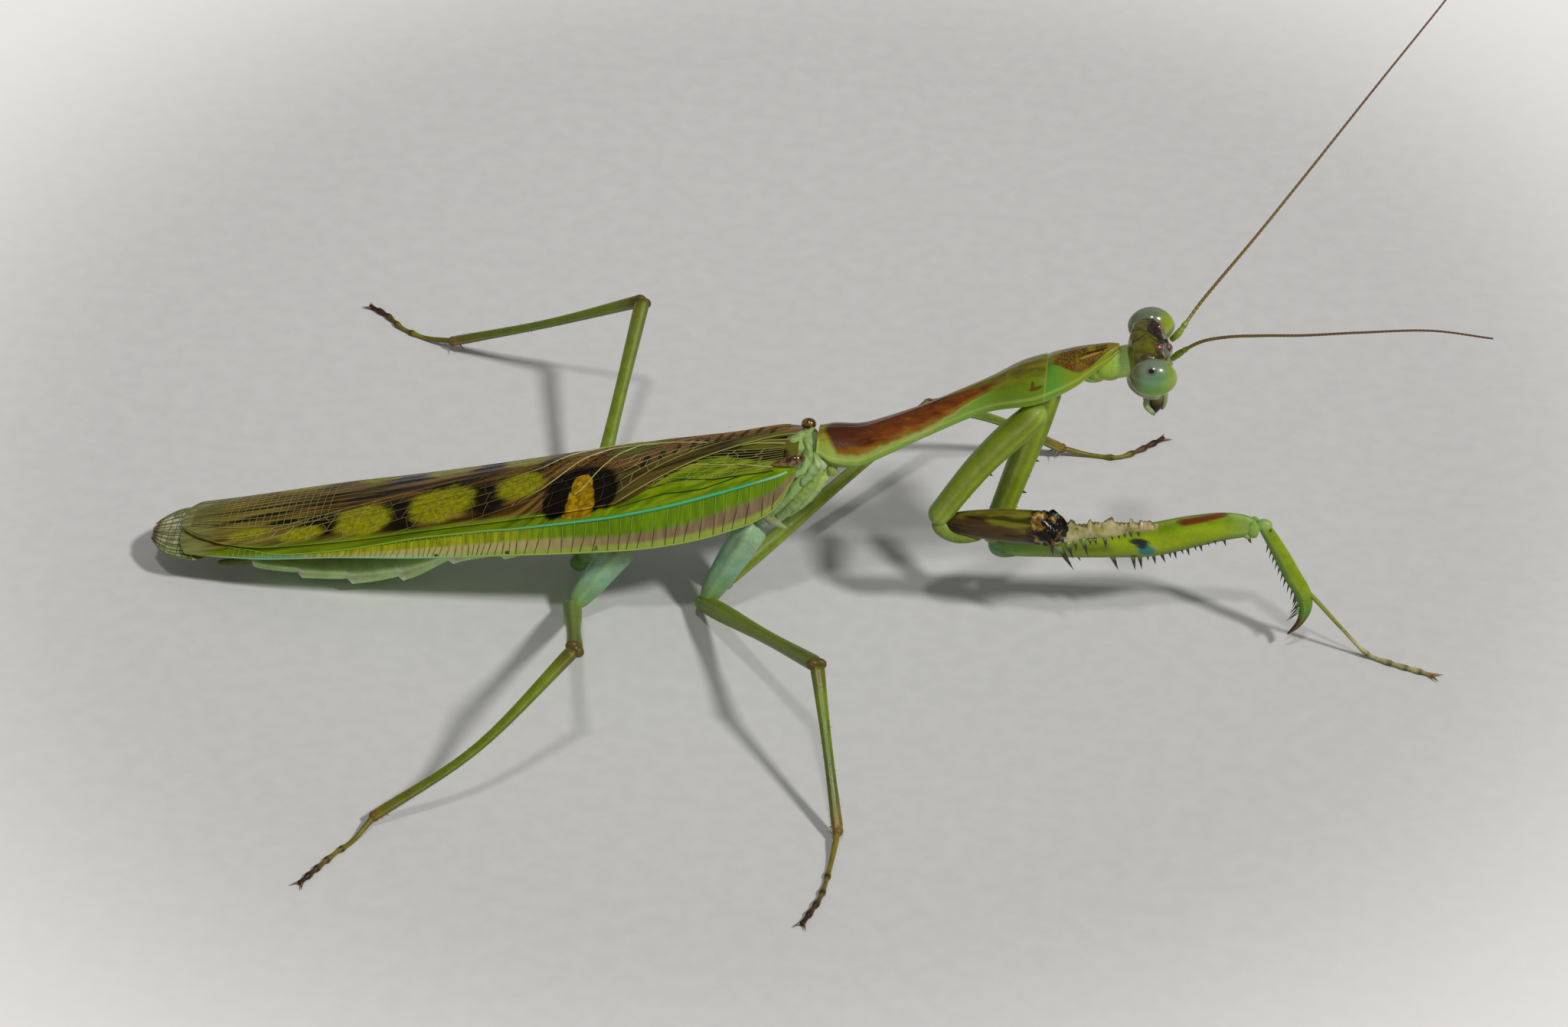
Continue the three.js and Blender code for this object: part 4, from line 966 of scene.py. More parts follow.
PLEURA = [  # folds of the thorax side: path, thickness, tint
    [[[2.3, 1.65, 15.3], [1.3, 2.2, 13.5], [-0.2, 2.35, 11.4], [-1.6, 2.1, 9.6]], 0.4, "#8fae62"],
    [[[3.0, 1.5, 14.9], [2.2, 1.95, 13.4], [0.9, 2.1, 11.5], [-0.7, 1.95, 9.6]], 0.42, "#8ea64a"],
    [[[3.6, 1.3, 14.6], [3.0, 1.6, 13.6], [1.9, 1.75, 11.9], [0.4, 1.65, 10.2]], 0.38, "#a9b86c"],
    [[[0.6, 2.15, 13.8], [-0.8, 2.5, 12.2], [-2.6, 2.5, 10.4]], 0.34, "#93b07c"],
    [[[-1.6, 2.3, 10.9], [-0.4, 2.2, 9.9], [0.4, 1.9, 9.2]], 0.3, "#a08c74"],
    [[[2.6, 1.2, 15.9], [2.7, 1.75, 15.3], [2.2, 2.2, 14.4], [1.6, 2.45, 13.6]], 0.34, "#94b070"],
    [[[1.4, 0.2, 16.1], [1.9, 1.1, 15.9], [1.9, 1.9, 15.2], [1.1, 2.45, 14.3]], 0.36, "#86a052"],
    [[[-6.0, 2.3, 10.0], [-8.0, 2.5, 8.6], [-9.8, 2.4, 7.4]], 0.4, "#93b48c"],
    [[[-8.2, 2.5, 9.2], [-10.2, 2.6, 8.0], [-11.8, 2.4, 7.0]], 0.4, "#a0c098"],
]
FOLD_ROWS = [[0, 0.6, 0.8], [0.4, 0.8, 1.15], [1, 0.6, 0.7]]  # shares of a fold's thickness
for side in (1, -1):
    for fold, size, tint in PLEURA:
        path = [[x, side * y, z] for x, y, z in fold]
        rows = [[place, size * wide, size * deep, size * deep] for place, wide, deep in FOLD_ROWS]
        folded = limb(path, rows, [[0, tint], [1, "#88a870"]], sides=22, stations=48)
        skin_shapes.append(crumpled(folded, 0.055, 0.5))
    skin_shapes += [ball([3.0, side * 1.62, 15.0], [0.42, 0.3, 0.5], "#a3b48c"),
                    ball([3.75, side * 1.5, 14.5], [0.42, 0.3, 0.55], "#8fa552")]
    skin_shapes.append(limb([[-40.0, side * 0.7, 1.75], [-41.4, side * 1.0, 1.5],
                             [-43.0, side * 1.15, 1.3]],
                            [[0, 0.3, 0.3, 0.3], [0.2, 0.34, 0.34, 0.34], [0.9, 0.2, 0.2, 0.2],
                             [1, 0.1, 0.1, 0.1]], [[0, LEAF], [1, OLIVE]], sides=12, stations=24))
for leg_name, leg in WALKING_LEGS.items():
    skin_shapes += walking_leg_shapes(leg_name, leg)
skin_shapes += [
    fore_coxa_shape(FORE_RIGHT, "#7c9438"), fore_trochanter_shape(FORE_RIGHT, 3.8, 0.75, "#7c9040"),
    fore_coxa_shape(FORE_LEFT, "#6c943c"), fore_trochanter_shape(FORE_LEFT, 2.6, 0.3, "#74a070"),
    left_femur_shape(), left_tibia_shape(), ball([35.35, 1.25, 10.5], [0.62, 0.42, 0.5], "#8fac58"),
    *[ball([34.62, 1.28 + side * 0.36, 10.22], [0.42, 0.2, 0.74], "#86a44c", 24, 16) for side in (1, -1)],
    ball([34.2, 1.25, 9.6], [0.34, 0.42, 0.4], "#8aa850"),
    limb([[34.25, 1.25, 9.5], [34.35, 1.25, 9.05], [34.5, 1.25, 8.8]],
         [[0, 0.2, 0.2, 0.2], [0.6, 0.12, 0.12, 0.12], [1, 0.04, 0.04, 0.04]], [[0, LEAF], [1, BROWN]]),
]
skin = coat(fused("body_skin", skin_shapes), SKIN)
daub(skin, [
    *[[[29.4 + 0.29 * k, 0.75, 10.44 + 0.083 * k], [0.6, 0.75, 0.26 - 0.008 * k], "#642604", 0.8]
      for k in range(11)],
    [[26.85, 0.45, 7.98], [0.78, 0.8, 0.62], "#1f7480", 0.9],
    [[26.3, 0.45, 8.72], [0.92, 0.8, 0.32], BLUE_BLACK, 0.97],
    [[26.5, 0.45, 8.4], [0.5, 0.7, 0.3], "#14202c", 0.95],
    [[26.0, 0.6, 7.2], [0.3, 0.6, 0.22], DARK_BROWN, 0.8],
    [[35.9, 0.75, 10.35], [0.2, 0.35, 0.2], BLACK, 0.9],
    [[19.7, -2.5, 21.9], [0.35, 0.6, 0.4], BLACK, 0.9],
])
settle(skin, "green_skin", "neck", "prothorax", "thorax", "abdomen", "foreleg_left_coxa",
       "foreleg_right_coxa", "foreleg_left_femur", "foreleg_left_tibia",
       *[f"{leg}_{part}" for leg in WALKING_LEGS for part in ("coxa", "femur", "tibia")])

# ---------- the shield over the prothorax ----------

GROOVE_AT = 18.9
SHIELD_REACH = (2.55, 24.25)


def shield_shape():
    """The saddle-shaped shield: a thin arched plate with a rim, a faint middle keel and a cross groove."""
    lines = 61
    angles = np.linspace(math.radians(-14), math.radians(194), lines)
    stations = 190
    outer, inner, places = [], [], []
    for share in rounded_shares(stations):
        x = between(*SHIELD_REACH, share)
        _, level, wide, rise, _ = smooth_row(PROTHORAX, min(max(x, PROTHORAX[0][0]), PROTHORAX[-1][0]))
        across = np.cos(angles)
        bulge = np.sin(angles)
        rim = 0.09 * smooth_step(np.abs(bulge), 0.25, 0.05) * (bulge > -0.3)
        keel = 0.06 * np.exp(-(across / 0.08) ** 2)
        groove = 0.16 * math.exp(-((x - GROOVE_AT - 0.25) / 0.22) ** 2)
        front = math.sqrt(max(0.0, 1 - smooth_step(x, 23.4, 24.6) ** 2))
        swell = 1 + (rim + keel - groove * np.clip(bulge, 0, 1)) / max(rise, 0.5)
        tall = np.where(bulge > 0, rise, 0.7)
        outer.append(np.stack([np.full(lines, x), across * (wide + rim + 0.02) * (0.6 + 0.4 * front),
                               level + bulge * tall * swell], axis=1))
        inner.append(np.stack([np.full(lines, x), across * (wide - 0.16) * (0.6 + 0.4 * front),
                               level + bulge * (tall - 0.2)], axis=1))
        places.append([[x, a, b] for a, b in zip(across, bulge)])
    outer, inner = np.array(outer), np.array(inner)
    rings = np.concatenate([outer, inner[:, ::-1]], axis=1)
    marks = np.concatenate([places, np.array(places)[:, ::-1]], axis=1)
    return loft(rings, shield_place=marks)


def shield_material():
    """Rust over the back, light green along its margins, olive and gold before the groove."""
    f = Finish("rust_and_green_shield")
    x, across, bulge = f.apart(f.attribute("shield_place", "Vector"))
    away = f.size_of(across)
    warp = f.times(f.minus(f.noise(1.2, 3), 0.5), 0.16)
    streak = f.noise(0.55, 4, stretch=(0.12, 1, 1))
    rust = f.paint("#4f2002", "#7c3c04", streak, 0.25, 0.75)
    rust = f.paint(rust, "#96661c", f.noise(0.35, 3, stretch=(0.2, 1, 1)), 0.58, 0.74, 0.45)
    rust = f.paint(rust, "#300f03", x, 7.5, 4.4, 0.7)
    rust = f.paint(rust, "#3c1c08", away, 0.4, 0.1, 0.35)
    olive = f.paint("#555a05", "#737a08", streak, 0.3, 0.7)
    margin = f.paint("#729634", "#8fa210", x, 14.5, 17.5)
    edge = f.plus(away, warp)
    limit = f.fade(x, 11.0, 17.6, 0.93, 0.5)
    nearness = f.minus(edge, limit)
    gold = f.paint("#7a4a06", "#8f6a14", streak, 0.35, 0.65)
    fading = f.fade(f.plus(x, f.times(warp, 16.0)), 18.2, 13.2)
    middle = f.blend(fading, f.paint(olive, "#6b4a06", away, 0.5, 0.15), rust)
    upper = f.plus(f.fade(x, 10.0, 17.4, 0.0, 0.5), warp)
    middle = f.paint(middle, f.paint("#5a4c04", "#727408", streak, 0.3, 0.7), f.minus(away, upper), 0.02,
                     -0.14)
    before = f.paint(olive, "#5f7c0c", edge, 0.5, 0.85)
    outer = f.paint(margin, before, x, 13.2, 16.5)
    base = f.paint(middle, f.paint(gold, olive, x, 12.5, 17.0), nearness, -0.22, -0.05)
    base = f.paint(base, outer, nearness, -0.06, 0.05)
    line = f.fade(f.size_of(f.minus(nearness, 0.03)), 0.04, 0.01)
    base = f.blend(f.times(line, f.fade(x, 15.5, 13.5, 0, 0.4)), base, "#b5a26a")
    rear = f.plus(f.minus(x, f.times(f.times(away, away), 1.1)), f.times(warp, 3.0))
    collar = f.paint(f.paint("#6d6610", "#8f8a20", streak, 0.4, 0.6), "#96a848", away, 0.5, 0.95)
    base = f.paint(base, collar, rear, 3.35, 2.85)
    speckle = f.noise(0.13, 3)
    top = f.paint("#4a3002", "#766004", speckle, 0.4, 0.62)
    top = f.paint(top, "#8a7c0a", f.noise(0.9, 2), 0.52, 0.64, 0.75)
    front_share = f.minus(edge, f.minus(f.fade(x, 18.8, 21.8, 0.3, 0.9), f.fade(x, 22.4, 24.0, 0, 0.35)))
    top = f.paint(top, "#5c2a04", front_share, -0.2, -0.03, 0.7)

    def dash(middle, reach):
        """A short stroke on both sides of the shield at [x, away]."""
        off = f.vector("DIVIDE", f.vector("SUBTRACT", f.together(x, away, 0), (*middle, 0)), (*reach, 1))
        return f.fade(f.plus(f.vector("LENGTH", off), f.times(warp, 4.0)), 1.15, 0.8)

    top = f.blend(f.times(dash((22.6, 0.34), (0.9, 0.07)), 0.9), top, "#2c1002")
    top = f.blend(f.times(dash((22.3, 0.5), (0.8, 0.05)), 0.8), top, "#a58a30")
    flank = f.paint("#4f8a2c", "#74860e", x, 19.4, 21.2)
    front = f.paint(top, flank, front_share, -0.03, 0.04)
    front = f.paint(front, "#568424", f.plus(x, f.times(away, -0.8)), 19.5, 19.1, 0.75)
    front = f.paint(front, "#6f6a10", x, 23.5, 24.0, 0.8)
    base = f.paint(base, front, x, GROOVE_AT + 0.2, GROOVE_AT + 0.35)
    groove = f.fade(f.size_of(f.minus(x, GROOVE_AT + 0.25)), 0.09, 0.03, 0, 0.5)
    base = f.blend(groove, base, "#8f9a42")
    mark = f.larger(dash((18.5, 0.86), (0.5, 0.035)), dash((18.25, 0.8), (0.14, 0.1)))
    base = f.blend(f.times(mark, 0.85), base, "#5c2c08")
    under = f.fade(bulge, 0.06, -0.12)
    base = f.blend(under, base, f.paint("#6f9838", "#95a80c", x, 15.5, 18.0))
    rim = f.times(f.fade(bulge, 0.3, 0.2), f.fade(bulge, 0.12, 0.18))
    base = f.blend(f.times(rim, 0.35), base, "#b4bd60")
    grain = f.bump(f.cells(0.11, "F1"), 0.014, 0.5)
    grain = f.bump(f.noise(0.45, 5), 0.05, 0.35, grain)
    return f.done(base, f.rough(streak, 0.26, 0.4), grain, Specular_IOR_Level=0.34,
                  Coat_Weight=0.1, Coat_Roughness=0.16)


shield = coat(mesh_object("shield", shield_shape(), 50), shield_material())
settle(shield, "shield", "prothorax")

# ---------- head ----------

roll, yaw = math.radians(HEAD_ROLL), math.radians(HEAD_YAW)
HEAD_TURN = np.array(Matrix.Rotation(yaw, 3, "Z") @ Matrix.Rotation(roll, 3, "X"))


def on_head(shape):
    shape.points = shape.points @ HEAD_TURN.T + np.array(HEAD_PLACE)
    return shape


def head_point(point):
    return HEAD_TURN @ np.array(point, float) + np.array(HEAD_PLACE)


def skull_shape():
    """The head capsule: brow lobes beside the eyes, grooves over the crown and a raised face shield."""
    sides, stations = 72, 70
    angles = around(sides)
    rings, places = [], []
    top, bottom = SKULL[0][0], SKULL[-1][0]
    for share in rounded_shares(stations):
        height = between(top + 0.12, bottom - 0.1, share)
        _, shift, wide, front, back = smooth_row(SKULL, min(top, max(bottom, height)))
        near = min(top + 0.14 - height, height - bottom + 0.12) / 0.5
        cap = math.sqrt(1 - (1 - min(1, max(0, near))) ** 2)
        deep = np.where(np.sin(angles) > 0, front, back)
        y = np.cos(angles)
        crown = smooth_step(height, 0.4, 1.4)
        grooves = sum(0.05 * np.exp(-((y - place) / 0.05) ** 2) for place in (-0.52, -0.2, 0.2, 0.52))
        lobes = 0.05 * np.exp(-((np.abs(y) - 0.66) / 0.14) ** 2)
        plate = 0.08 * smooth_step(-abs(height + 0.55), -0.75,
                                   -0.35) * (np.abs(y) < 0.4) * (np.sin(angles) > 0)
        clypeus = 0.1 * smooth_step(-abs(height + 2.1), -0.75,
                                    -0.45) * np.exp(-(y / 0.4) ** 6) * (np.sin(angles) > 0)
        scale = (1 - crown * grooves + crown * lobes + plate + clypeus) * cap
        rings.append(np.stack([shift + np.sin(angles) * deep * scale, y * wide * scale,
                               np.full(sides, height)], axis=1))
        places.append([[a, b, height] for a, b in zip(np.sin(angles) * deep, y * wide)])
    return on_head(loft(rings, head_place=places))


def head_material():
    """Olive-yellow crown with dark bars, near black round the simple eyes, and a green face."""
    f = Finish("banded_head_skin")
    at = f.attribute("head_place", "Vector")
    x, y, z = f.apart(at)
    warp = f.minus(f.noise(0.45, 3), 0.5)

    def near(middle, reach, ragged=0.5):
        away = f.vector("LENGTH", f.vector("DIVIDE", f.vector("SUBTRACT", at, middle), reach))
        return f.fade(f.plus(away, f.times(warp, ragged)), 1.12, 0.8)

    face = f.paint("#5f7d14", "#7c901c", f.noise(0.8, 3), 0.35, 0.65)
    face = f.paint(face, "#85875c", z, -1.7, -2.3)
    face = f.paint(face, "#5c6314", x, -0.6, -1.4, 0.7)
    vertex = f.paint("#464403", "#656304", f.noise(0.4, 4), 0.3, 0.7)
    bars = f.math("SINE", f.plus(f.times(y, 4.4), f.plus(f.times(warp, 0.8), 4.87)))
    vertex = f.paint(vertex, "#2a2803", bars, 0.72, 0.93, 0.75)
    crown = f.fade(f.plus(z, f.times(warp, 0.4)), 0.1, 0.6)
    base = f.blend(crown, face, vertex)
    dark = f.larger(near((0.6, 0.85, 1.3), (0.95, 1.45, 0.95)), near((0.95, -0.3, 0.95), (0.6, 1.1, 0.8)))
    dark = f.larger(dark, f.times(near((0.45, -1.5, 1.1), (0.35, 0.9, 0.5)), 0.8))
    base = f.blend(dark, base, f.paint("#120805", "#3f2416", f.noise(0.2, 3), 0.5, 0.65))
    relief = f.bump(f.noise(0.25, 4), 0.03, 0.5)
    relief = f.bump(f.cells(0.09, "F1"), 0.01, 0.5, relief)
    return f.done(base, f.rough(f.noise(0.3, 3), 0.2, 0.34), relief, Specular_IOR_Level=0.45,
                  Coat_Weight=0.2, Coat_Roughness=0.12)


HEAD_SKIN = head_material()
head = coat(mesh_object("head_capsule", skull_shape(), 60), HEAD_SKIN)
settle(head, "head_skin", "head")


def eye_shape(side):
    """A bulging compound eye, a little pointed at the top."""
    shape = ball([0, 0, 0], EYE_RADII, sides=96, rings=64)
    x, y, z = shape.points.T
    peak = 1 + 0.06 * smooth_step(z / EYE_RADII[2], 0.4, 1.0)
    shape.points = np.stack([x, y, z * peak], axis=1)
    shape.mark(eye_place=np.stack([x / EYE_RADII[0], side * y / EYE_RADII[1], z / EYE_RADII[2]], axis=1))
    shape.points += np.array([EYE_CENTRE[0], side * EYE_CENTRE[1], EYE_CENTRE[2]])
    return on_head(shape)


def eye_material(name, pupil):
    """A faceted eye, grey-teal above and yellow-green below, with a small dark false pupil."""
    f = Finish(name)
    at = f.attribute("eye_place", "Vector")
    x, y, z = f.apart(at)
    cloud = f.times(f.minus(f.noise(0.9, 3), 0.5), 0.5)
    level = f.minus(f.plus(z, cloud), f.times(x, 0.25))
    base = f.paint("#6d7a66", "#567c58", level, 0.95, 0.3)
    base = f.paint(base, "#5a8a26", level, 0.4, -0.2)
    base = f.paint(base, "#7c9618", level, -0.2, -0.8)
    base = f.paint(base, "#7c8f18", f.plus(x, cloud), 0.2, 0.8, 0.85)
    base = f.paint(base, "#545a14", f.plus(x, cloud), -0.45, -0.85, 0.85)
    inner = f.paint("#5f6c52", "#7f9218", x, 0.1, 0.7)
    base = f.paint(base, inner, y, 0.0, -0.3)
    away = f.vector("LENGTH", f.vector("SUBTRACT", at, pupil))
    base = f.paint(base, "#20342a", away, 0.3, 0.14, 0.5)
    base = f.paint(base, BLACK, away, 0.15, 0.1)
    base = f.paint(base, "#1c3428", f.noise(0.14, 2), 0.6, 0.7, 0.15)
    facets = f.cells(0.045, "F1", randomness=0.15)
    return f.done(base, f.rough(f.noise(0.5, 2), 0.14, 0.24), f.bump(facets, 0.004, 0.35),
                  Specular_IOR_Level=0.45, Coat_Weight=0.35, Coat_Roughness=0.08)


for side, name, pupil in [(1, "left", (0.05, 0.55, 0.83)), (-1, "right", (-0.12, 0.6, 0.79))]:
    eye = coat(mesh_object(f"compound_eye_{name}", eye_shape(side), 80),
               eye_material(f"compound_eye_{name}", pupil))
    settle(eye, "eye", f"eye_{name}")


def bead_material(name, dark, light, roughness=0.12):
    f = Finish(name)
    swirl = f.noise(0.35, 3)
    base = f.paint(dark, light, swirl, 0.35, 0.65)
    return f.done(base, roughness, f.bump(f.noise(0.2, 2), 0.01, 0.4), Coat_Weight=0.8,
                  Coat_Roughness=0.05)


AMBER = bead_material("amber_bead", "#241003", "#7d5a14")
COPPER = bead_material("copper_ocellus", "#240c08", "#8c5848")
simple_eyes = joined([on_head(ball(place, [OCELLUS_RADIUS] * 3, sides=28, rings=16)) for place in OCELLI])
settle(coat(mesh_object("simple_eyes", simple_eyes, 80), COPPER), "eye")

BEAD_ROWS = [[0, 0.12, 0.15, 0.15], [0.35, 0.3, 0.34, 0.34], [0.72, 0.36, 0.5, 0.46], [1, 0.15, 0.2, 0.2]]
beads = [limb([[-0.5, -2.62, 15.35], [0.4, -2.6, 15.62], [1.1, -2.5, 15.75], [1.85, -2.25, 15.95]],
              BEAD_ROWS, [[0, BROWN], [1, BROWN]], sides=24, stations=40),
         ball([1.6, 1.85, 16.1], [0.56, 0.44, 0.44], BROWN, 28, 16)]
settle(coat(mesh_object("wing_base_beads", joined(beads), 80), AMBER), "torn_skin")

FACE_GREEN = "#7c8c44"
LIP_TINTS = [[0, FACE_GREEN], [0.6, "#9aa070"], [0.85, "#8a8468"], [1, "#2c1a12"]]
JAW_TINTS = [[0, FACE_GREEN], [0.25, "#5c4a24"], [0.4, DARK_BROWN], [0.55, BLACK], [1, BLACK]]
PALP_TINTS = [[0, FACE_GREEN], [0.7, "#9aac80"], [1, "#4a3826"]]
mouth_shapes = [
    limb([[0.95, 0, -2.9], [1.0, 0, -4.1], [0.85, 0, -5.0]],
         [[0, 0.7, 0.25, 0.25], [0.3, 0.8, 0.3, 0.3], [0.7, 0.7, 0.28, 0.28], [1, 0.35, 0.2, 0.2]],
         LIP_TINTS),
    limb([[-0.1, 0, -3.0], [-0.1, 0, -4.1], [0.1, 0, -5.0]],
         [[0, 0.6, 0.5, 0.5], [0.3, 0.7, 0.5, 0.5], [1, 0.3, 0.2, 0.2]], LIP_TINTS),
]
for side in (1, -1):
    mouth_shapes.append(limb([[0.45, side * 0.65, -3.0], [0.4, side * 0.6, -4.3],
                              [0.25, side * 0.2, -5.45]],
                             [[0, 0.4, 0.5, 0.5], [0.5, 0.36, 0.45, 0.45], [1, 0.1, 0.15, 0.15]],
                             JAW_TINTS))
    mouth_shapes.append(limb([[-0.1, side * 0.6, -3.1], [-0.3, side * 0.95, -4.0],
                              [0.15, side * 1.0, -4.6], [0.35, side * 0.75, -5.0]],
                             [[0, 0.2, 0.2, 0.2], [0.4, 0.22, 0.22, 0.22], [0.8, 0.18, 0.18, 0.18],
                              [1, 0.12, 0.12, 0.12]], PALP_TINTS, sides=12))
mouth = on_head(joined(mouth_shapes))
MOUTH_SKIN = skin_material("mouth_skin", mottle=0.3, roughness=0.28)
settle(coat(mesh_object("mouth_pieces", mouth), MOUTH_SKIN), "head_skin", "mouthparts")

# ---------- feelers ----------

FEELER = {"rings_mm": 0.36, "base": 0.135, "tip": 0.065, "swell": 0.22, "steps": 6,
          "scape_ends": 1.2, "pedicel_ends": 1.85}


def feeler_shape(name):
    """Socket, scape and pedicel, then a whip of many short rings."""
    side = 1 if name == "left" else -1
    socket = head_point([FEELER_BASE[0], side * FEELER_BASE[1], FEELER_BASE[2]])
    points = [socket] + FEELERS[name]
    path = Path(points)
    rings = int(path.length / FEELER["rings_mm"])
    count = rings * FEELER["steps"]
    shares = np.linspace(0, 1, count)
    line, radii, marks = [], [], []
    for k, share in enumerate(shares):
        reach = share * path.length
        radius = between(FEELER["base"], FEELER["tip"], share ** 0.7)
        if reach < FEELER["scape_ends"]:
            radius = 0.26 * (1 - 0.3 * abs(reach - 0.7))
        elif reach < FEELER["pedicel_ends"]:
            radius = 0.22 - 0.2 * abs(reach - 1.5)
        phase = (k % FEELER["steps"]) / FEELER["steps"]
        swell = FEELER["swell"] * (abs(math.sin(math.pi * phase)) - 0.5)
        radius *= 1 + swell * (reach > FEELER["pedicel_ends"])
        line.append(path.at(share))
        radii.append(radius)
        marks.append([reach, share, phase])
    radii[-1] = 0.02
    return [(line, radii, marks, 0.0)]


def feeler_material():
    f = Finish("ringed_feeler")
    _, share, phase = f.apart(f.attribute("wing_place", "Vector"))
    base = f.paint("#798e1c", "#6f5818", share, 0.02, 0.12)
    base = f.paint(base, "#6a4c38", share, 0.25, 0.75)
    joint = f.fade(f.size_of(f.minus(phase, 0.5)), 0.34, 0.46, 0, 0.6)
    base = f.blend(joint, base, "#3c2c18")
    return f.done(base, f.rough(f.noise(0.5, 2), 0.35, 0.5), f.bump(f.noise(0.1, 3), 0.01, 0.4))


FEELER_FINISH = feeler_material()
for name in FEELERS:
    whip = ribs(f"feeler_{name}", feeler_shape(name), FEELER_FINISH, 10)
    settle(whip, "feeler", f"antenna_{name}")

# ---------- wings ----------


def overlap(x):
    share = np.clip((x - OVERLAP["from"]) / (OVERLAP["to"] - OVERLAP["from"]), 0, 1)
    return between(OVERLAP["start"], OVERLAP["full"], share ** 1.5)


def rounded_end(x):
    s = np.clip((x - FOREWING["rounds_from"]) / (FOREWING["tip"] - FOREWING["rounds_from"]), 0, 1)
    return between(FOREWING["blunt"], 1.0, math.sqrt(1 - s ** 2.1))


def roof_points(x, across):
    """Points of the folded wings' roof at one x: 0 across is the midline, 1 the bend, 2 the margin."""
    _, bend, half, rise, drop, lean = smooth_row(ROOF, x)
    across = np.asarray(across, float)
    out = np.abs(across)
    over = np.clip(out - 1, 0, None)
    y = np.where(out <= 1, across * half, np.sign(across) * (half + lean * over))
    z = np.where(out <= 1, bend + rise * (1 - across ** 2), bend - drop * over)
    return np.stack([np.full(len(across), x), y, z], axis=1)


def tegmen_points(side, x, out):
    """Points of one tegmen; the left lies on top, and the right sinks under it where they cross."""
    points = roof_points(x, side * out)
    if side < 0:
        covered = smooth_step(out, overlap(x) + 0.1, overlap(x) - 0.12)
        sink = between(WING_GAPS["bare"], WING_GAPS["covered"], covered)
        points[:, 2] -= np.where(out <= 1, sink, WING_GAPS["bare"] * (2 - out))
    return points


def arc_mm(x, across):
    """Millimetres from the midline over the roof, left positive."""
    _, _, half, _, drop, lean = smooth_row(ROOF, x)
    out = np.abs(across)
    return np.sign(across) * (np.minimum(out, 1) * half + np.clip(out - 1, 0, None) * math.hypot(drop,
                                                                                                 lean))


def wing_places(x, across):
    """[x, millimetres from the midline, place across] for a wing's patterns."""
    return np.stack([np.full(len(across), x), arc_mm(x, across), across], axis=1)


def sheet_shape(rows, up, thickness, **marks):
    """A thin closed sheet under a grid of points."""
    grid = np.array(rows)
    normal = np.cross(np.gradient(grid, axis=0), np.gradient(grid, axis=1))
    normal /= np.linalg.norm(normal, axis=2, keepdims=True) + 1e-12
    flip = np.sign((normal * np.array(up)).sum(axis=2, keepdims=True))
    normal *= np.where(flip == 0, 1, flip)
    below = grid - normal * thickness
    rows_count, lines = grid.shape[:2]
    points = np.concatenate([grid.reshape(-1, 3), below.reshape(-1, 3)])
    offset = rows_count * lines
    index = np.arange(offset).reshape(rows_count, lines)
    a, b, c, d = index[:-1, :-1].ravel(), index[1:, :-1].ravel(), index[1:, 1:].ravel(), index[:-1,
                                                                                               1:].ravel()
    faces = [tuple(face) for face in np.stack([a, b, c, d], axis=1).tolist()]
    faces += [tuple(face) for face in (np.stack([d, c, b, a], axis=1) + offset).tolist()]
    rim = [*index[:, 0], *index[-1, 1:], *index[-2::-1, -1], *index[0, -2:0:-1]]
    for k, here in enumerate(rim):
        after = rim[(k + 1) % len(rim)]
        faces.append((int(after), int(here), int(here) + offset, int(after) + offset))
    kept = {name: np.concatenate([np.array(values, float).reshape(offset, -1)] * 2) for name,
            values in marks.items()}
    return Shape(points, faces, **kept).outward()


TEGMEN_THICK = 0.13


def tegmen_outs(x):
    """The lines across a tegmen at one x, from its inner margin to its outer one."""
    inner = -overlap(x)
    disc = inner + (1 - inner) * np.linspace(0, 1, 64)
    side = 1 + np.linspace(0, 1, 28)[1:]
    return np.concatenate([disc, side]) * rounded_end(x)


def vein_flow(x):
    """How far a tegmen's veins have come across, in mm, at one x: level behind, steep past the eye spot."""
    return (0.08 * x + 0.14 * np.clip(x + 21, 0, 4) ** 2 + 1.12 * np.clip(x + 17, 0, 5)
            + 0.2 * np.clip(x + 12, 0, 20))


def tegmen_shape(side):
    """The sheet of one tegmen, lightly furrowed between its long veins."""
    base, tip = FOREWING["base"], FOREWING["tip"]
    shares = np.concatenate([np.linspace(0, 0.92, 270),
                             0.92 + 0.08 * np.sin(np.linspace(0.06, 0.5, 34) * math.pi)])
    rows, places = [], []
    for share in shares:
        x = between(base, tip, share)
        outs = tegmen_outs(x)
        points = tegmen_points(side, x, outs)
        arc = arc_mm(x, side * outs)
        furrow = 0.03 * np.sin((arc - vein_flow(x)) * 2 * math.pi / 1.05)
        pleat = 0.018 * np.sin((x + 0.25 * arc) * 2 * math.pi / 0.9) * smooth_step(outs, 1.05, 1.2) \
            * smooth_step(outs, 2.0, 1.9)
        points[:, 2] += furrow * smooth_step(outs, 1.0, 0.9) - 0.03
        points[:, 1] += side * pleat
        rows.append(points)
        places.append(wing_places(x, side * outs))
    return sheet_shape(rows, (0, side * 0.2, 1), TEGMEN_THICK, wing_place=places)


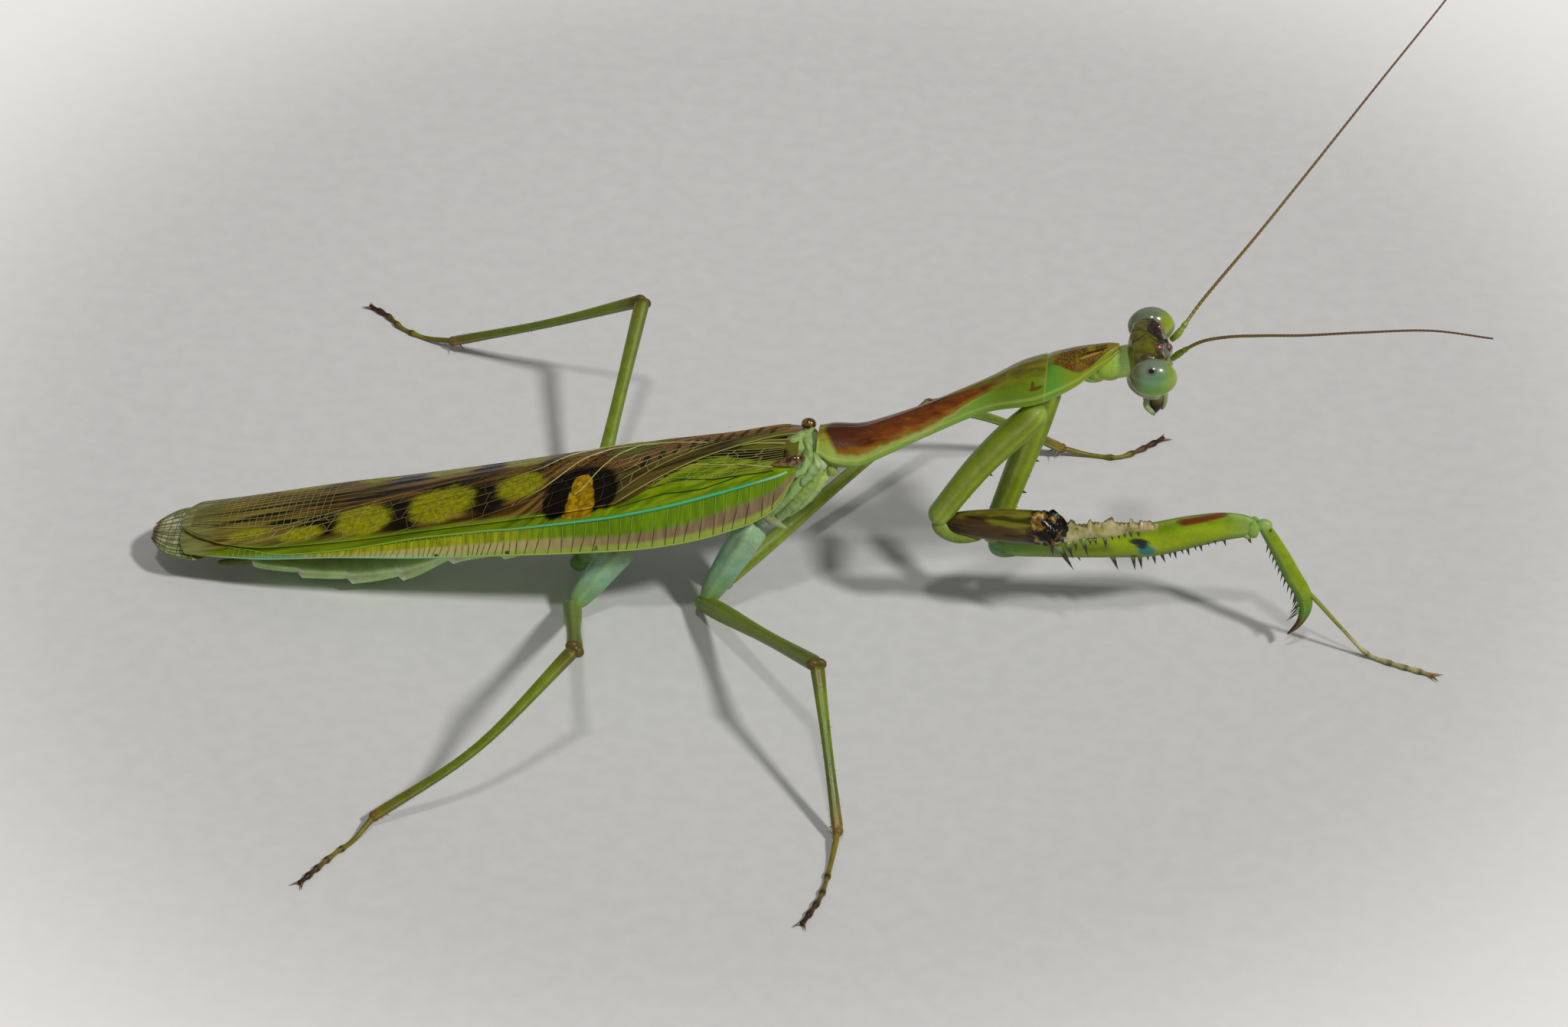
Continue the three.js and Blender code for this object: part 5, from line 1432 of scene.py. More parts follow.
# Markings of the folded tegmina: [x, place across (right negative), half length, half width, tilt].
DARK_PATCHES = [
    [-22.3, -0.4, 1.9, 1.5, -20], [-28.6, -0.5, 2.05, 1.5, -18], [-34.6, -0.48, 1.7, 1.1, -14],
    [-30.5, 0.05, 4.5, 0.34, 6], [-37.5, -0.06, 4.5, 0.2, 5], [-24.0, 0.1, 3.0, 0.45, 12],
    [-31.5, 0.3, 5.0, 0.3, 5], [-38.0, 0.14, 4.0, 0.2, 4], [-22.5, 0.62, 1.5, 1.2, 25],
    [-28.5, 0.62, 1.4, 1.0, 20], [-34.4, 0.7, 1.6, 0.6, 15], [-14.4, 0.93, 2.9, 0.34, 0],
    [-17.0, -0.88, 1.2, 0.34, 0], [-37.6, -0.36, 1.2, 0.3, 0], [-29.64, -0.9, 0.2, 0.16, 0],
    [-2.2, -0.42, 3.0, 0.5, -11], [-0.4, -0.5, 0.9, 0.4, 0], [-17.6, 0.35, 1.8, 0.5, 50],
    [-41.0, -0.2, 2.6, 0.16, 4],
]
YELLOW_PATCHES = [
    [-19.6, -0.22, 1.7, 1.3, 8], [-25.4, -0.38, 2.35, 1.6, 4], [-31.3, -0.52, 2.05, 1.4, 4],
    [-36.0, -0.64, 1.6, 0.6, 4], [-40.1, -0.56, 1.6, 0.45, 4],
    [-19.7, 0.68, 1.75, 1.45, 12], [-25.3, 0.74, 2.15, 1.35, 10], [-31.0, 0.82, 1.6, 1.05, 10],
    [-36.8, 0.86, 1.8, 0.8, 8],
]
EYE_RINGS = [[-14.8, -0.46, 2.75, 2.15, -8], [-16.5, -0.68, 1.1, 1.2, 0], [-13.0, -0.62, 1.0, 1.2, 0]]
EYE_HEARTS = [[-14.75, -0.44, 0.78, 1.1, 4], [-14.7, -0.64, 0.98, 1.0, 0], [-14.7, -0.78, 1.1, 0.8, 0],
              [-14.85, -0.92, 1.15, 0.3, -3]]
BASE_CELLS = [[-0.9, 0.42, 0.7, 0.2, 75], [-2.0, 0.52, 0.8, 0.2, 75], [-3.06, 0.5, 0.9, 0.22, 75],
              [-4.1, 0.42, 0.8, 0.2, 75], [-5.04, 0.36, 0.9, 0.22, 75], [-5.95, 0.26, 0.8, 0.2, 75],
              [-6.78, 0.22, 0.85, 0.24, 75], [-8.04, 0.12, 0.8, 0.24, 80], [-9.06, 0.0, 0.75, 0.24, 80],
              [-10.2, -0.12, 0.7, 0.3, 80]]


def wing_pattern(f):
    """The colours of the folded tegmina, shared by their skin and their veins."""
    at = f.attribute("wing_place", "Vector")
    x, arc, across = f.apart(at)
    out = f.size_of(across)
    flat = f.together(x, arc, 0)

    def past(place, most):
        return f.math("MINIMUM", f.larger(f.minus(x, place), 0.0), most)

    steep = past(-21.0, 4.0)
    flow = f.plus(f.times(x, 0.08), f.times(f.times(steep, steep), 0.14))
    flow = f.plus(flow, f.times(past(-17.0, 5.0), 1.12))
    flow = f.plus(flow, f.times(past(-12.0, 20.0), 0.2))
    slant = f.together(x, f.minus(arc, flow), 0)
    ragged = f.minus(f.noise(0.7, 4, slant, (0.5, 1, 1)), 0.5)

    def spots(rows, softness=0.2, raggedness=0.5):
        total = None
        for px, pc, long, wide, tilt in rows:
            node = f.tree.nodes.new("ShaderNodeMapping")
            node.vector_type = "TEXTURE"
            node.inputs["Location"].default_value = (px, float(arc_mm(px, np.array(pc))), 0)
            node.inputs["Rotation"].default_value = (0, 0, math.radians(tilt))
            node.inputs["Scale"].default_value = (long, wide, 1)
            f.tree.links.new(flat, node.inputs["Vector"])
            away = f.plus(f.vector("LENGTH", node.outputs["Vector"]), f.times(ragged, raggedness))
            share = f.fade(away, 1 + softness, 1 - softness)
            total = share if total is None else f.larger(total, share)
        return total

    streaks = f.noise(0.62, 5, slant, (0.1, 1.5, 1))
    clouds = f.noise(2.4, 3, slant, (0.4, 1, 1))
    disc = f.paint("#3a2408", "#765826", streaks, 0.38, 0.68)
    disc = f.paint(disc, "#544c16", clouds, 0.5, 0.75, 0.55)
    tip_field = f.paint("#4a3d14", "#77702a", streaks, 0.35, 0.65)
    disc = f.paint(disc, tip_field, f.plus(x, f.times(arc, 1.2)), -33.0, -43.0, 0.9)
    low = f.fade(x, -4.0, -10.5, 0.24, -0.16)
    high = f.fade(x, -5.5, -11.5, 1.1, 0.1)
    front = f.fade(x, -13.4, -12.0)
    over_low, over_high = f.minus(across, low), f.minus(across, high)
    glass = f.paint("#2a230c", "#574c1c", streaks, 0.36, 0.66)
    disc = f.blend(front, disc, f.paint(glass, "#5c5c1c", x, -4.5, -2.5))
    disc = f.blend(f.times(front, f.fade(over_high, -0.05, 0.1)), disc, "#4f551a")
    saddle = f.paint("#4f3014", "#846440", streaks, 0.34, 0.64)
    band = f.times(f.fade(over_low, -0.04, 0.04), f.fade(over_high, 0.1, -0.05))
    disc = f.blend(f.times(f.times(front, band), 0.92), disc, saddle)
    disc = f.blend(f.times(spots(BASE_CELLS, 0.2, 0.6), 0.88), disc, "#160b06")
    disc = f.blend(f.times(spots(DARK_PATCHES, 0.3, 0.8), 0.97), disc, "#080402")

    start = f.plus(f.fade(x, 0.5, -5.5, 0.74, 0.27), f.fade(x, -5.5, -12.0, 0, 0.6))
    start = f.minus(start, f.fade(x, -14.0, -20.0, 0, 0.08))
    start = f.larger(start, f.fade(across, -0.05, 0.05, 0, 0.99))
    strip = f.fade(f.minus(f.plus(out, f.times(ragged, 0.06)), start), -0.02, 0.05)
    green = f.paint("#506c02", "#7a9003", f.noise(0.4, 3, slant, (0.2, 1, 1)), 0.36, 0.64)
    rear_green = f.paint("#4a5f04", "#6a7c0a", streaks, 0.35, 0.65)
    green = f.paint(green, rear_green, x, -11.0, -16.0)
    disc = f.blend(strip, disc, green)

    yellow = f.paint("#6d6e02", "#8c8b06", f.noise(0.3, 3, flat, (0.8, 1, 1)), 0.34, 0.66)
    disc = f.blend(f.times(spots(YELLOW_PATCHES, 0.24, 0.8), 0.95), disc, yellow)
    disc = f.blend(f.times(spots(EYE_RINGS, 0.12, 0.5), 0.98), disc, "#050201")
    heart = f.paint("#755a02", "#9c7c06", f.noise(0.5, 2, flat), 0.4, 0.6)
    disc = f.blend(f.times(spots(EYE_HEARTS, 0.07, 0.12), 0.98), disc, heart)
    clear = f.paint("#5f5f2c", "#8b8c58", streaks, 0.3, 0.7)
    disc = f.paint(disc, clear, x, -42.2, -44.4, 0.9)

    pleats = f.noise(0.4, 2, flat, (1, 0.12, 1))
    side = f.paint("#577602", "#668804", pleats, 0.35, 0.65)
    side = f.paint(side, f.paint("#6f7602", "#9c9a10", pleats, 0.35, 0.65), x, -15.0, -22.0, 0.9)
    mauve_start = f.minus(f.fade(x, 0.0, -9.0, 1.42, 1.56), f.fade(x, -11.0, -18.0, 0, 0.14))
    mauve = f.fade(f.minus(f.plus(out, f.times(ragged, 0.1)), mauve_start), -0.05, 0.12)
    mauve_tint = f.paint(f.paint("#766049", "#857054", pleats, 0.4, 0.6), "#a59b62", x, -8.0, -22.0)
    side = f.blend(f.times(mauve, f.fade(x, -34.0, -26.0, 0.3, 0.95)), side, mauve_tint)
    edge = f.paint("#8a9c3c", "#8fb489", x, -20.0, -30.0)
    side = f.paint(side, edge, out, 1.76, 1.88)
    dots = f.cells(0.75, "F1", flat, (1, 0.3, 1))
    row = f.times(f.fade(f.size_of(f.minus(out, 1.87)), 0.1, 0.04),
                  f.times(f.fade(x, -11.0, -15.0), f.fade(x, -37.0, -33.0)))
    side = f.blend(f.times(row, f.fade(dots, 0.24, 0.14, 0, 0.9)), side, "#131c10")
    rear_side = f.paint("#4f9070", "#5f7a1c", x, -39.0, -43.0)
    side = f.paint(side, rear_side, x, -34.0, -37.5)
    base = f.paint(disc, side, out, 1.0, 1.05)
    return base, flat, slant, streaks


def tegmen_material():
    f = Finish("patterned_tegmen")
    base, flat, slant, streaks = wing_pattern(f)
    net = f.cells(0.75, place=slant, stretch=(0.8, 1.2, 1))
    fine_net = f.cells(0.17, place=flat)
    relief = f.bump(f.fade(net, 0.0, 0.16), 0.02, 0.25)
    relief = f.bump(f.fade(fine_net, 0.0, 0.2), 0.005, 0.18, relief)
    relief = f.bump(f.noise(1.2, 4, slant, (0.4, 1, 1)), 0.07, 0.3, relief)
    return f.done(base, f.rough(streaks, 0.24, 0.4), relief, Specular_IOR_Level=0.14,
                  Coat_Weight=0.02, Coat_Roughness=0.12)


def rib_material():
    """Veins: paler than the skin under them, turquoise along the main one, dark over the mauve band."""
    f = Finish("wing_veins")
    ground, _, _, streaks = wing_pattern(f)
    x, _, across = f.apart(f.attribute("wing_place", "Vector"))
    out = f.size_of(across)
    pale = f.larger(f.fade(x, -26.0, -36.0, 0.12, 0.6), f.fade(across, 0.0, -0.3, 0.1, 0.25))
    pale = f.larger(pale, f.times(f.fade(x, -12.4, -11.4, 0, 0.8), f.fade(across, 0.3, 0.0)))
    bright = f.blend(pale, f.scaled(ground, (1.34, 1.3, 1.18)), "#989052")
    bright = f.paint(bright, "#6a6030", x, -42.0, -43.5)
    by_ring = f.fade(f.size_of(f.plus(x, 14.8)), 3.2, 2.4, 0, 0.75)
    bright = f.blend(by_ring, bright, f.scaled(ground, (2.0, 1.8, 1.4)))
    kind = f.apart(f.attribute("rib_kind", "Vector"))[0]
    cross = f.paint("#84a01a", "#46341f", out, 1.4, 1.6)
    cross = f.paint(cross, "#8e8a30", x, -22.0, -30.0, 0.8)
    base = f.paint(bright, cross, out, 1.0, 1.04)
    turquoise = f.paint("#45a878", "#7d9a30", x, -14.0, -25.0)
    turquoise = f.blend(f.times(f.fade(across, 0.0, 0.3), f.fade(x, -6.0, -14.0)), turquoise, "#5a4c26")
    turquoise = f.paint("#8fb98a", turquoise, x, 0.5, -2.5)
    base = f.paint(base, turquoise, kind, 0.5, 0.9)
    margin = f.paint("#8fa04c", "#7fa583", x, -20.0, -30.0)
    base = f.paint(base, f.paint(margin, "#74702c", x, -41.5, -43.5), kind, 1.5, 1.9)
    base = f.blend(f.times(f.fade(kind, 2.5, 2.9), f.fade(x, -21.0, -16.0)), base, "#aba865")
    base = f.blend(f.times(f.fade(kind, 2.5, 2.9), f.fade(x, -16.0, -21.0)), base, ground)
    base = f.paint(base, "#26380a", kind, 3.5, 3.9)
    return f.done(base, f.rough(streaks, 0.25, 0.42), f.bump(f.noise(0.12, 2), 0.01, 0.3),
                  Specular_IOR_Level=0.4, Coat_Weight=0.1, Coat_Roughness=0.15)


SIDES = ((1, "left"), (-1, "right"))
TEGMEN = tegmen_material()
for side, name in SIDES:
    wing = coat(mesh_object(f"tegmen_{name}", tegmen_shape(side), 60), TEGMEN)
    settle(wing, "forewing", f"forewing_{name}")

NET, MAIN_VEIN, MARGIN, PALE_VEIN, DARK_VEIN = 0.0, 1.0, 2.0, 3.0, 4.0


def rib_line(side, track, radii, kind=NET, rise=0.02, step=0.3):
    """A rib over a tegmen along a track of [x, out], as points, radii, pattern places and kind."""
    track = np.array(track, float)
    lengths = np.concatenate([[0], np.cumsum(np.hypot(np.diff(track[:, 0]), np.diff(track[:, 1]) * 4))])
    count = max(3, int(lengths[-1] / step) + 1)
    reach = np.linspace(0, lengths[-1], count)
    xs, outs = np.interp(reach, lengths, track[:, 0]), np.interp(reach, lengths, track[:, 1])
    points, places = [], []
    for x, out in zip(xs, outs):
        point = tegmen_points(side, x, np.array([out]))[0]
        points.append(point + np.array([0, side * rise * (out > 1), rise * (out <= 1)]))
        places.append(wing_places(x, np.array([side * out]))[0])
    radii = np.atleast_1d(radii)
    size = np.interp(np.linspace(0, 1, count), np.linspace(0, 1, len(radii)), radii)
    return points, size, places, kind


def disc_vein(start, leaves, exponent):
    """A track from the wing base beside the main vein, peeling off to the inner margin at x = leaves."""
    track = []
    for share in np.linspace(0, 1, 40):
        x = between(0.2, leaves, share)
        place = start * (1 - share ** exponent) + share ** exponent
        track.append([x, (1 - place * (1 + overlap(x))) * 0.985 * rounded_end(x)])
    return track


MAIN_TRACK = {
    -1: [[0.6, 1.12], [-1.8, 1.1], [-6.0, 1.1], [-12.6, 1.1], [-17.3, 1.03], [-22.0, 0.98], [-27.0, 0.97],
         [-31.0, 1.0], [-35.4, 1.04], [-38.3, 0.98], [-41.4, 0.78], [-43.0, 0.62]],
    1: [[0.6, 1.16], [-1.8, 1.14], [-4.0, 1.12], [-9.0, 1.1], [-27.0, 1.1], [-33.7, 1.2], [-38.0, 1.3],
        [-42.0, 1.6]],
}
CURVED_VEINS = {
    1: [[[-5.8, 0.2], [-8.8, 0.44], [-11.1, 0.5], [-12.5, 0.24], [-13.5, -0.08], [-14.5, -0.46],
         [-15.2, -0.6]],
        [[-8.4, 0.42], [-10.7, 0.56], [-13.1, 0.6], [-15.1, 0.3], [-16.6, -0.14], [-17.6, -0.36],
         [-19.5, -0.6]],
        [[-11.0, 0.8], [-14.0, 0.84], [-16.2, 0.6], [-18.0, 0.2], [-20.0, 0.0], [-23.0, -0.2],
         [-26.5, -0.5]]],
    -1: [[[-0.5, 0.86], [-3.0, 0.62], [-6.4, 0.4], [-7.4, 0.44]],
         [[0.2, 0.26], [-2.4, 0.06], [-4.6, 0.02]]],
}
DARK_TRACKS = [[[-0.4, 0.95], [-2.7, 0.87], [-5.0, 0.8], [-7.4, 0.66], [-9.6, 0.72]],
               [[-2.7, 0.87], [-5.5, 0.94], [-8.5, 0.86], [-11.8, 0.93]],
               [[-1.0, 0.8], [-3.6, 0.58], [-5.4, 0.44]]]
VEINS_LEAVE = (-45.4, -44.2, -41.8, -38.0, -33.6, -28.8, -24.0, -19.2, -14.6)


def tegmen_ribs(side):
    lines = [rib_line(side, MAIN_TRACK[side], [0.11, 0.13, 0.12, 0.1, 0.08, 0.06, 0.05, 0.03], MAIN_VEIN,
                      0.02)]
    for track in CURVED_VEINS[side]:
        lines.append(rib_line(side, track, [0.055, 0.05, 0.035], PALE_VEIN, 0.03))
    for track in DARK_TRACKS if side < 0 else []:
        lines.append(rib_line(side, track, [0.05, 0.035], DARK_VEIN))
    inner = [[x, -overlap(x) * rounded_end(x) * 0.995] for x in np.linspace(0.9, -45.5, 200)]
    lines.append(rib_line(side, inner, [0.06, 0.05, 0.03, 0.03], NET, 0.0))
    outer = [[x, 1.985 * rounded_end(x)] for x in np.linspace(0.7, -45.6, 260)]
    lines.append(rib_line(side, outer, [0.07, 0.08, 0.06, 0.045], MARGIN, 0.0))
    if side > 0:                            # the square net toward the tip
        places = np.arange(-0.42, 0.95, 0.12)
        for place in places:
            lines.append(rib_line(side,
                                  [[x, place * rounded_end(x)] for x in np.linspace(-30.0, -44.9, 50)],
                                  [0.016, 0.03, 0.028]))
        for x in np.arange(-34.2, -44.9, -0.56):
            lines.append(rib_line(side,
                                  [[x, place * rounded_end(x)] for place in (places[0], 0.2, places[-1])],
                                  0.024))
    rng = random.Random(7 if side > 0 else 8)
    tracks = [disc_vein(0.14 + 0.068 * k, leaves, 1.6) for k, leaves in enumerate(VEINS_LEAVE)]
    for track in tracks:
        lines.append(rib_line(side, track, [0.026, 0.03, 0.034, 0.03]))
    for upper, lower in zip(tracks[:-1], tracks[1:]):
        first, second = np.array(upper), np.array(lower)
        last = max(upper[-1][0], lower[-1][0]) + 0.4
        x = -1.2 - rng.random()
        zig = 1
        while x > last:
            a = np.interp(-x, -first[:, 0], first[:, 1])
            lean = rng.uniform(0.15, 0.5) * zig
            b = np.interp(-(x + lean), -second[:, 0], second[:, 1])
            if abs(a - b) > 0.02:
                middle = (a + b) / 2 + rng.uniform(-0.03, 0.03)
                lines.append(rib_line(side,
                                      [[x, a], [x + lean * rng.uniform(0.1, 0.9), middle], [x + lean, b]],
                                      0.026))
            x -= rng.uniform(0.75, 1.5) if x > -33 else rng.uniform(0.55, 0.85)
            zig = -zig
    x = -0.2
    while x > -41.5:
        start = np.interp(-x, [-row[0] for row in MAIN_TRACK[side]], [row[1] for row in MAIN_TRACK[side]])
        lean = 0.3 + 0.2 * math.sin(x * 1.7)
        lines.append(rib_line(side,
                              [[x, start], [x - lean * 0.3, between(start, 1.97, 0.5)], [x - lean, 1.97]],
                              [0.032, 0.03, 0.022]))
        x -= rng.uniform(0.8, 0.95) if x > -19 else rng.uniform(0.42, 0.52)
    return lines


RIB_FINISH = rib_material()
for side, name in SIDES:
    settle(ribs(f"tegmen_veins_{name}", tegmen_ribs(side), RIB_FINISH, 5), "forewing")


def hindwing_points(side, x, share):
    """The part of a folded hindwing near the midline; the left one crosses over the right."""
    spread = smooth_step(x, HINDWING["spreads_from"], HINDWING["spread"])
    edge = between(HINDWING["edge"], 1.0, spread)
    inner = -0.3 if side > 0 else 0.05
    outs = between(inner, edge, share)
    points = roof_points(x, side * outs)
    free = smooth_step(x, TIP_RISE["from"], TIP_RISE["from"] - TIP_RISE["over"])
    sink = between(WING_GAPS["hindwing"], WING_GAPS["hind_tip"], free) + (0.0 if side > 0 else 0.14)
    points[:, 2] -= sink
    points[:, 2] += 0.06 * np.sin(share * math.pi * 9) * spread
    return points, side * outs


def hindwing_shape(side):
    rows, places = [], []
    shares = np.linspace(0, 1, 37)
    xs = np.concatenate([np.linspace(HINDWING["base"], -42.0, 80),
                         np.linspace(-42.15, HINDWING["tip"], 60)])
    for x in xs:
        points, across = hindwing_points(side, x, shares)
        rows.append(points)
        places.append(wing_places(x, across))
    return sheet_shape(rows, (0, 0, 1), 0.08, wing_place=places)


def hindwing_material():
    """Pale, slightly milky membrane with an amber-brown hind edge."""
    f = Finish("clear_hindwing")
    x, _, across = f.apart(f.attribute("wing_place", "Vector"))
    cloud = f.noise(0.8, 3)
    base = f.paint("#7f8556", "#b4ba94", cloud, 0.35, 0.65)
    base = f.paint(base, "#66802a", f.size_of(across), 0.55, 0.95, 0.7)
    base = f.paint(base, "#5c3c18", x, -47.2, -47.9, 0.85)
    f.shader.inputs["Transmission Weight"].default_value = 0.1
    return f.done(base, f.rough(cloud, 0.2, 0.34), f.bump(f.noise(0.35, 3), 0.04, 0.4),
                  Specular_IOR_Level=0.45, Coat_Weight=0.15, Coat_Roughness=0.12)


def hindwing_ribs(side):
    lines = []
    for share in np.linspace(0.02, 0.985, 11):
        points, places = [], []
        for x in np.linspace(-36.0, -47.9, 50):
            at, across = hindwing_points(side, x, np.array([share]))
            points.append(at[0])
            places.append(wing_places(x, across)[0])
        lines.append((points, np.linspace(0.045, 0.028, 50), places, NET))
    for x in np.arange(-43.2, -48.0, -0.5):
        at, across = hindwing_points(side, x, np.linspace(0.02, 0.985, 24))
        lines.append((list(at), np.full(24, 0.024), list(wing_places(x, across)), NET))
    return lines


HINDWING_SKIN = hindwing_material()
HINDWING_VEINS = plain_material("brown_hindwing_veins", "#4a3820", 0.4)
for side, name in SIDES:
    wing = coat(mesh_object(f"hindwing_fan_{name}", hindwing_shape(side), 60), HINDWING_SKIN)
    settle(wing, "hindwing", f"hindwing_{name}")
    settle(ribs(f"hindwing_veins_{name}", hindwing_ribs(side), HINDWING_VEINS, 5), "hindwing")

# ---------- feet ----------


def tipped_material(name, root, tip, reach, rough, **steady):
    """Thorns and claws: one colour at the root that turns into another over a reach of their length."""
    f = Finish(name)
    base = f.paint(root, tip, f.attribute("tip"), *reach)
    relief = f.bump(f.noise(0.08, 2), 0.008, 0.4)
    return f.done(base, f.rough(f.noise(0.2, 2), *rough), relief, **steady)


THORN = tipped_material("black_tipped_thorn", "#5f7a34", "#0d0a07", (0.12, 0.42), (0.2, 0.35),
                        Coat_Weight=0.4, Coat_Roughness=0.1)
WART = bead_material("black_point", "#060403", "#1c130a", 0.3)
CLAW = tipped_material("brown_claw", "#7a4a22", "#1c0f08", (0.3, 0.9), (0.25, 0.4))
FOOT_SKIN = skin_material("brown_foot_skin", mottle=0.35, roughness=0.42, speck=DARK_BROWN, freckles=0.5)
FOOT_JOINTS = [0.44, 0.63, 0.77, 0.89]
FORE_FOOT_JOINTS = [0.57, 0.72, 0.82, 0.91]


def foot_shape(points, tints, joints, slender):
    """Five foot segments, each swollen at its end, on small flat soles."""
    rows = [[0, 0.2, 0.2, 0.2], [0.05, 0.22, 0.22, 0.22]]
    for pad in joints:
        rows += [[pad - 0.08, 0.17, 0.17, 0.17], [pad - 0.015, 0.25, 0.26, 0.28],
                 [pad + 0.025, 0.16, 0.16, 0.17]]
    rows.append([1, 0.22, 0.2, 0.22])
    rows = [[row[0]] + [size * slender for size in row[1:]] for row in rows]
    shape = limb(points, rows, tints, sides=16, stations=110)
    share = shape.marks["limb_place"][:, 0] / shape.marks["limb_place"][:, 0].max()
    under = smooth_step(np.abs(shape.marks["limb_place"][:, 1] - 1.5 * math.pi), 2.6, 1.2)
    dark = sum(np.exp(-((share - pad + 0.004) / 0.018) ** 2) for pad in joints) * (0.7 + 0.3 * under)
    shape.points[:, 2] = np.maximum(shape.points[:, 2], 0.0)
    return shape.tinge(np.clip(dark, 0, 1) * 0.9, DARK_BROWN)


def claws_at(points):
    end = np.array(points[-1], float)
    ahead = end - np.array(points[-2], float)
    ahead[2] = 0
    ahead = unit(ahead)
    aside = np.array([-ahead[1], ahead[0], 0])
    return [[end - ahead * 0.25 + aside * side * 0.1,
             ahead * 0.72 + aside * side * 0.42 + np.array([0, 0, -0.05]), 0.11] for side in (1, -1)]


BROWN_TOES = [[0, "#7a6a1c"], [0.45, "#76701a"], [0.62, "#6d5c24"], [0.8, "#4a3018"], [1, "#2f1a0e"]]
feet = {f"{name}_tarsus": ([[*toward(leg["heel"], [*leg["toes"][0], 0.4], 0.15)]]
                           + [[*toe, TOE_RADIUS * 0.85] for toe in leg["toes"]], BROWN_TOES)
        for name, leg in WALKING_LEGS.items()}
feet["foreleg_left_tarsus"] = (FORE_TOES,
                               [[0, "#76862a"], [0.3, "#8a8640"], [0.55, "#b6b07c"], [0.9, "#b4a870"],
                                [1, "#7a5424"]])
for name, (points, tints) in feet.items():
    joints, slender = (FORE_FOOT_JOINTS, 0.8) if name.startswith("fore") else (FOOT_JOINTS, 1.0)
    foot = coat(mesh_object(f"foot_of_{name}", foot_shape(points, tints, joints, slender)), FOOT_SKIN)
    settle(foot, "foot_skin", name)
    settle(thorns(f"claws_of_{name}", claws_at(points), CLAW, 8, 0.25), "foot_skin")

# ---------- thorns, teeth and spurs ----------

# The near row under the left thigh: x and z of the root, then of the tip.
FEMUR_THORNS = [
    [24.38, 6.76, 24.88, 5.67], [25.87, 6.93, 26.11, 5.75], [26.35, 7.06, 26.6, 5.9],
    [26.9, 7.12, 27.05, 6.75], [27.37, 7.16, 27.59, 6.45], [27.95, 7.36, 28.31, 6.68],
    [28.51, 7.59, 28.68, 7.15], [28.89, 7.75, 29.1, 7.1], [29.37, 7.95, 29.6, 7.58],
    [29.82, 8.09, 30.04, 7.48], [30.33, 8.37, 30.54, 8.0], [30.74, 8.51, 30.97, 7.93],
    [31.29, 8.75, 31.43, 8.52], [31.8, 8.93, 31.94, 8.68], [32.44, 9.16, 32.69, 8.6],
]
FAR_THORNS = [[21.6, 6.25, 22.0, 5.5], [25.2, 6.95, 25.6, 6.2], [28.3, 7.5, 28.7, 6.85],
              [31.2, 8.7, 31.5, 8.1], [33.4, 9.3, 33.6, 8.8]]
# Under the torn thigh and its strip.
TORN_THORNS = [
    [19.94, 9.37, 20.23, 8.4], [20.33, 9.33, 20.52, 8.6], [20.59, 9.31, 21.79, 7.3],
    [21.24, 9.5, 21.67, 8.3], [21.7, 9.69, 21.91, 9.05], [22.34, 9.92, 22.77, 8.62],
    [22.8, 9.95, 22.9, 9.7], [23.18, 10.05, 23.32, 9.75], [23.89, 10.31, 24.05, 9.4],
    [24.4, 10.5, 24.5, 10.25], [24.85, 10.7, 24.99, 10.4], [25.29, 10.8, 25.43, 10.55],
    [25.74, 10.9, 25.88, 10.6], [26.3, 11.0, 26.4, 10.75],
]


def thorn_row(table, y, aside):
    """Thorns from measured roots and tips in the plane of a leg."""
    made = []
    for x, z, tip_x, tip_z in table:
        root = np.array([x - (tip_x - x) * 0.25, y, z + 0.3])
        way = np.array([tip_x, y + aside, tip_z]) - root
        made.append([root, way, 0.14 + 0.08 * np.linalg.norm(way)])
    return made


femur_thorns = thorn_row(FEMUR_THORNS, 0.95, -0.15) + thorn_row(FAR_THORNS, 1.6, 0.25)

TEETH = {"count": 14, "first": 0.1, "last": 0.76, "short": 0.75, "long": 1.3, "radius": 0.11}
tibia_path = Path(TIBIA_PATH[1:])
tibia_teeth = []
for k in range(TEETH["count"]):
    share = k / (TEETH["count"] - 1)
    at = between(TEETH["first"], TEETH["last"], share)
    along = tibia_path.along(at)
    inward = np.array([along[2], 0, -along[0]])
    inward *= -np.sign(inward[0]) / np.linalg.norm(inward)
    for side in (1, -1):
        if side > 0 and k % 2:
            continue
        root = tibia_path.at(at) + inward * 0.42 + np.array([0, side * 0.15, 0])
        way = inward * 0.62 + along * 0.7 + np.array([0, side * 0.12, 0])
        tibia_teeth.append([root, way * between(TEETH["short"], TEETH["long"], share), TEETH["radius"]])


TALL_POINT, LOW_POINT = (0.56, 0.2), (0.36, 0.1)  # length and radius of the coxae's black points
POINT_ROOT = 0.72  # how far ahead of a coxa's middle they are rooted


def coxa_warts(leg, tall):
    """Small black points down the front of a grasping leg's coxa; those at the shares in tall stand out."""
    base, end = np.array(leg["base"]), toward(leg["trochanter"], leg["base"], 0.5)
    ahead = np.cross(end - base, [0, 1, 0])
    ahead *= np.sign(ahead[0]) / np.linalg.norm(ahead)
    made = []
    for share in (*tall, 0.2, (tall[0] + tall[1]) / 2, tall[1] + 0.1, tall[1] + 0.2):
        middle = between(base, end, share) + np.array(leg["bow"]) * math.sin(share * math.pi)
        size, width = TALL_POINT if share in tall else LOW_POINT
        made.append([middle + ahead * POINT_ROOT + np.array([0, -0.15, 0]), ahead * size, width])
    return made


def tibia_spurs(leg):
    inward = np.array(leg["trochanter"]) - np.array(leg["heel"])
    inward[2] = 0
    inward = unit(inward)
    aside = np.array([-inward[1], inward[0], 0])
    root = toward(leg["heel"], leg["knee"], 0.35)
    return [[root, inward * 0.75 + aside * side * 0.5 + np.array([0, 0, -0.55]), 0.12] for side in (1,
                                                                                                    -1)]


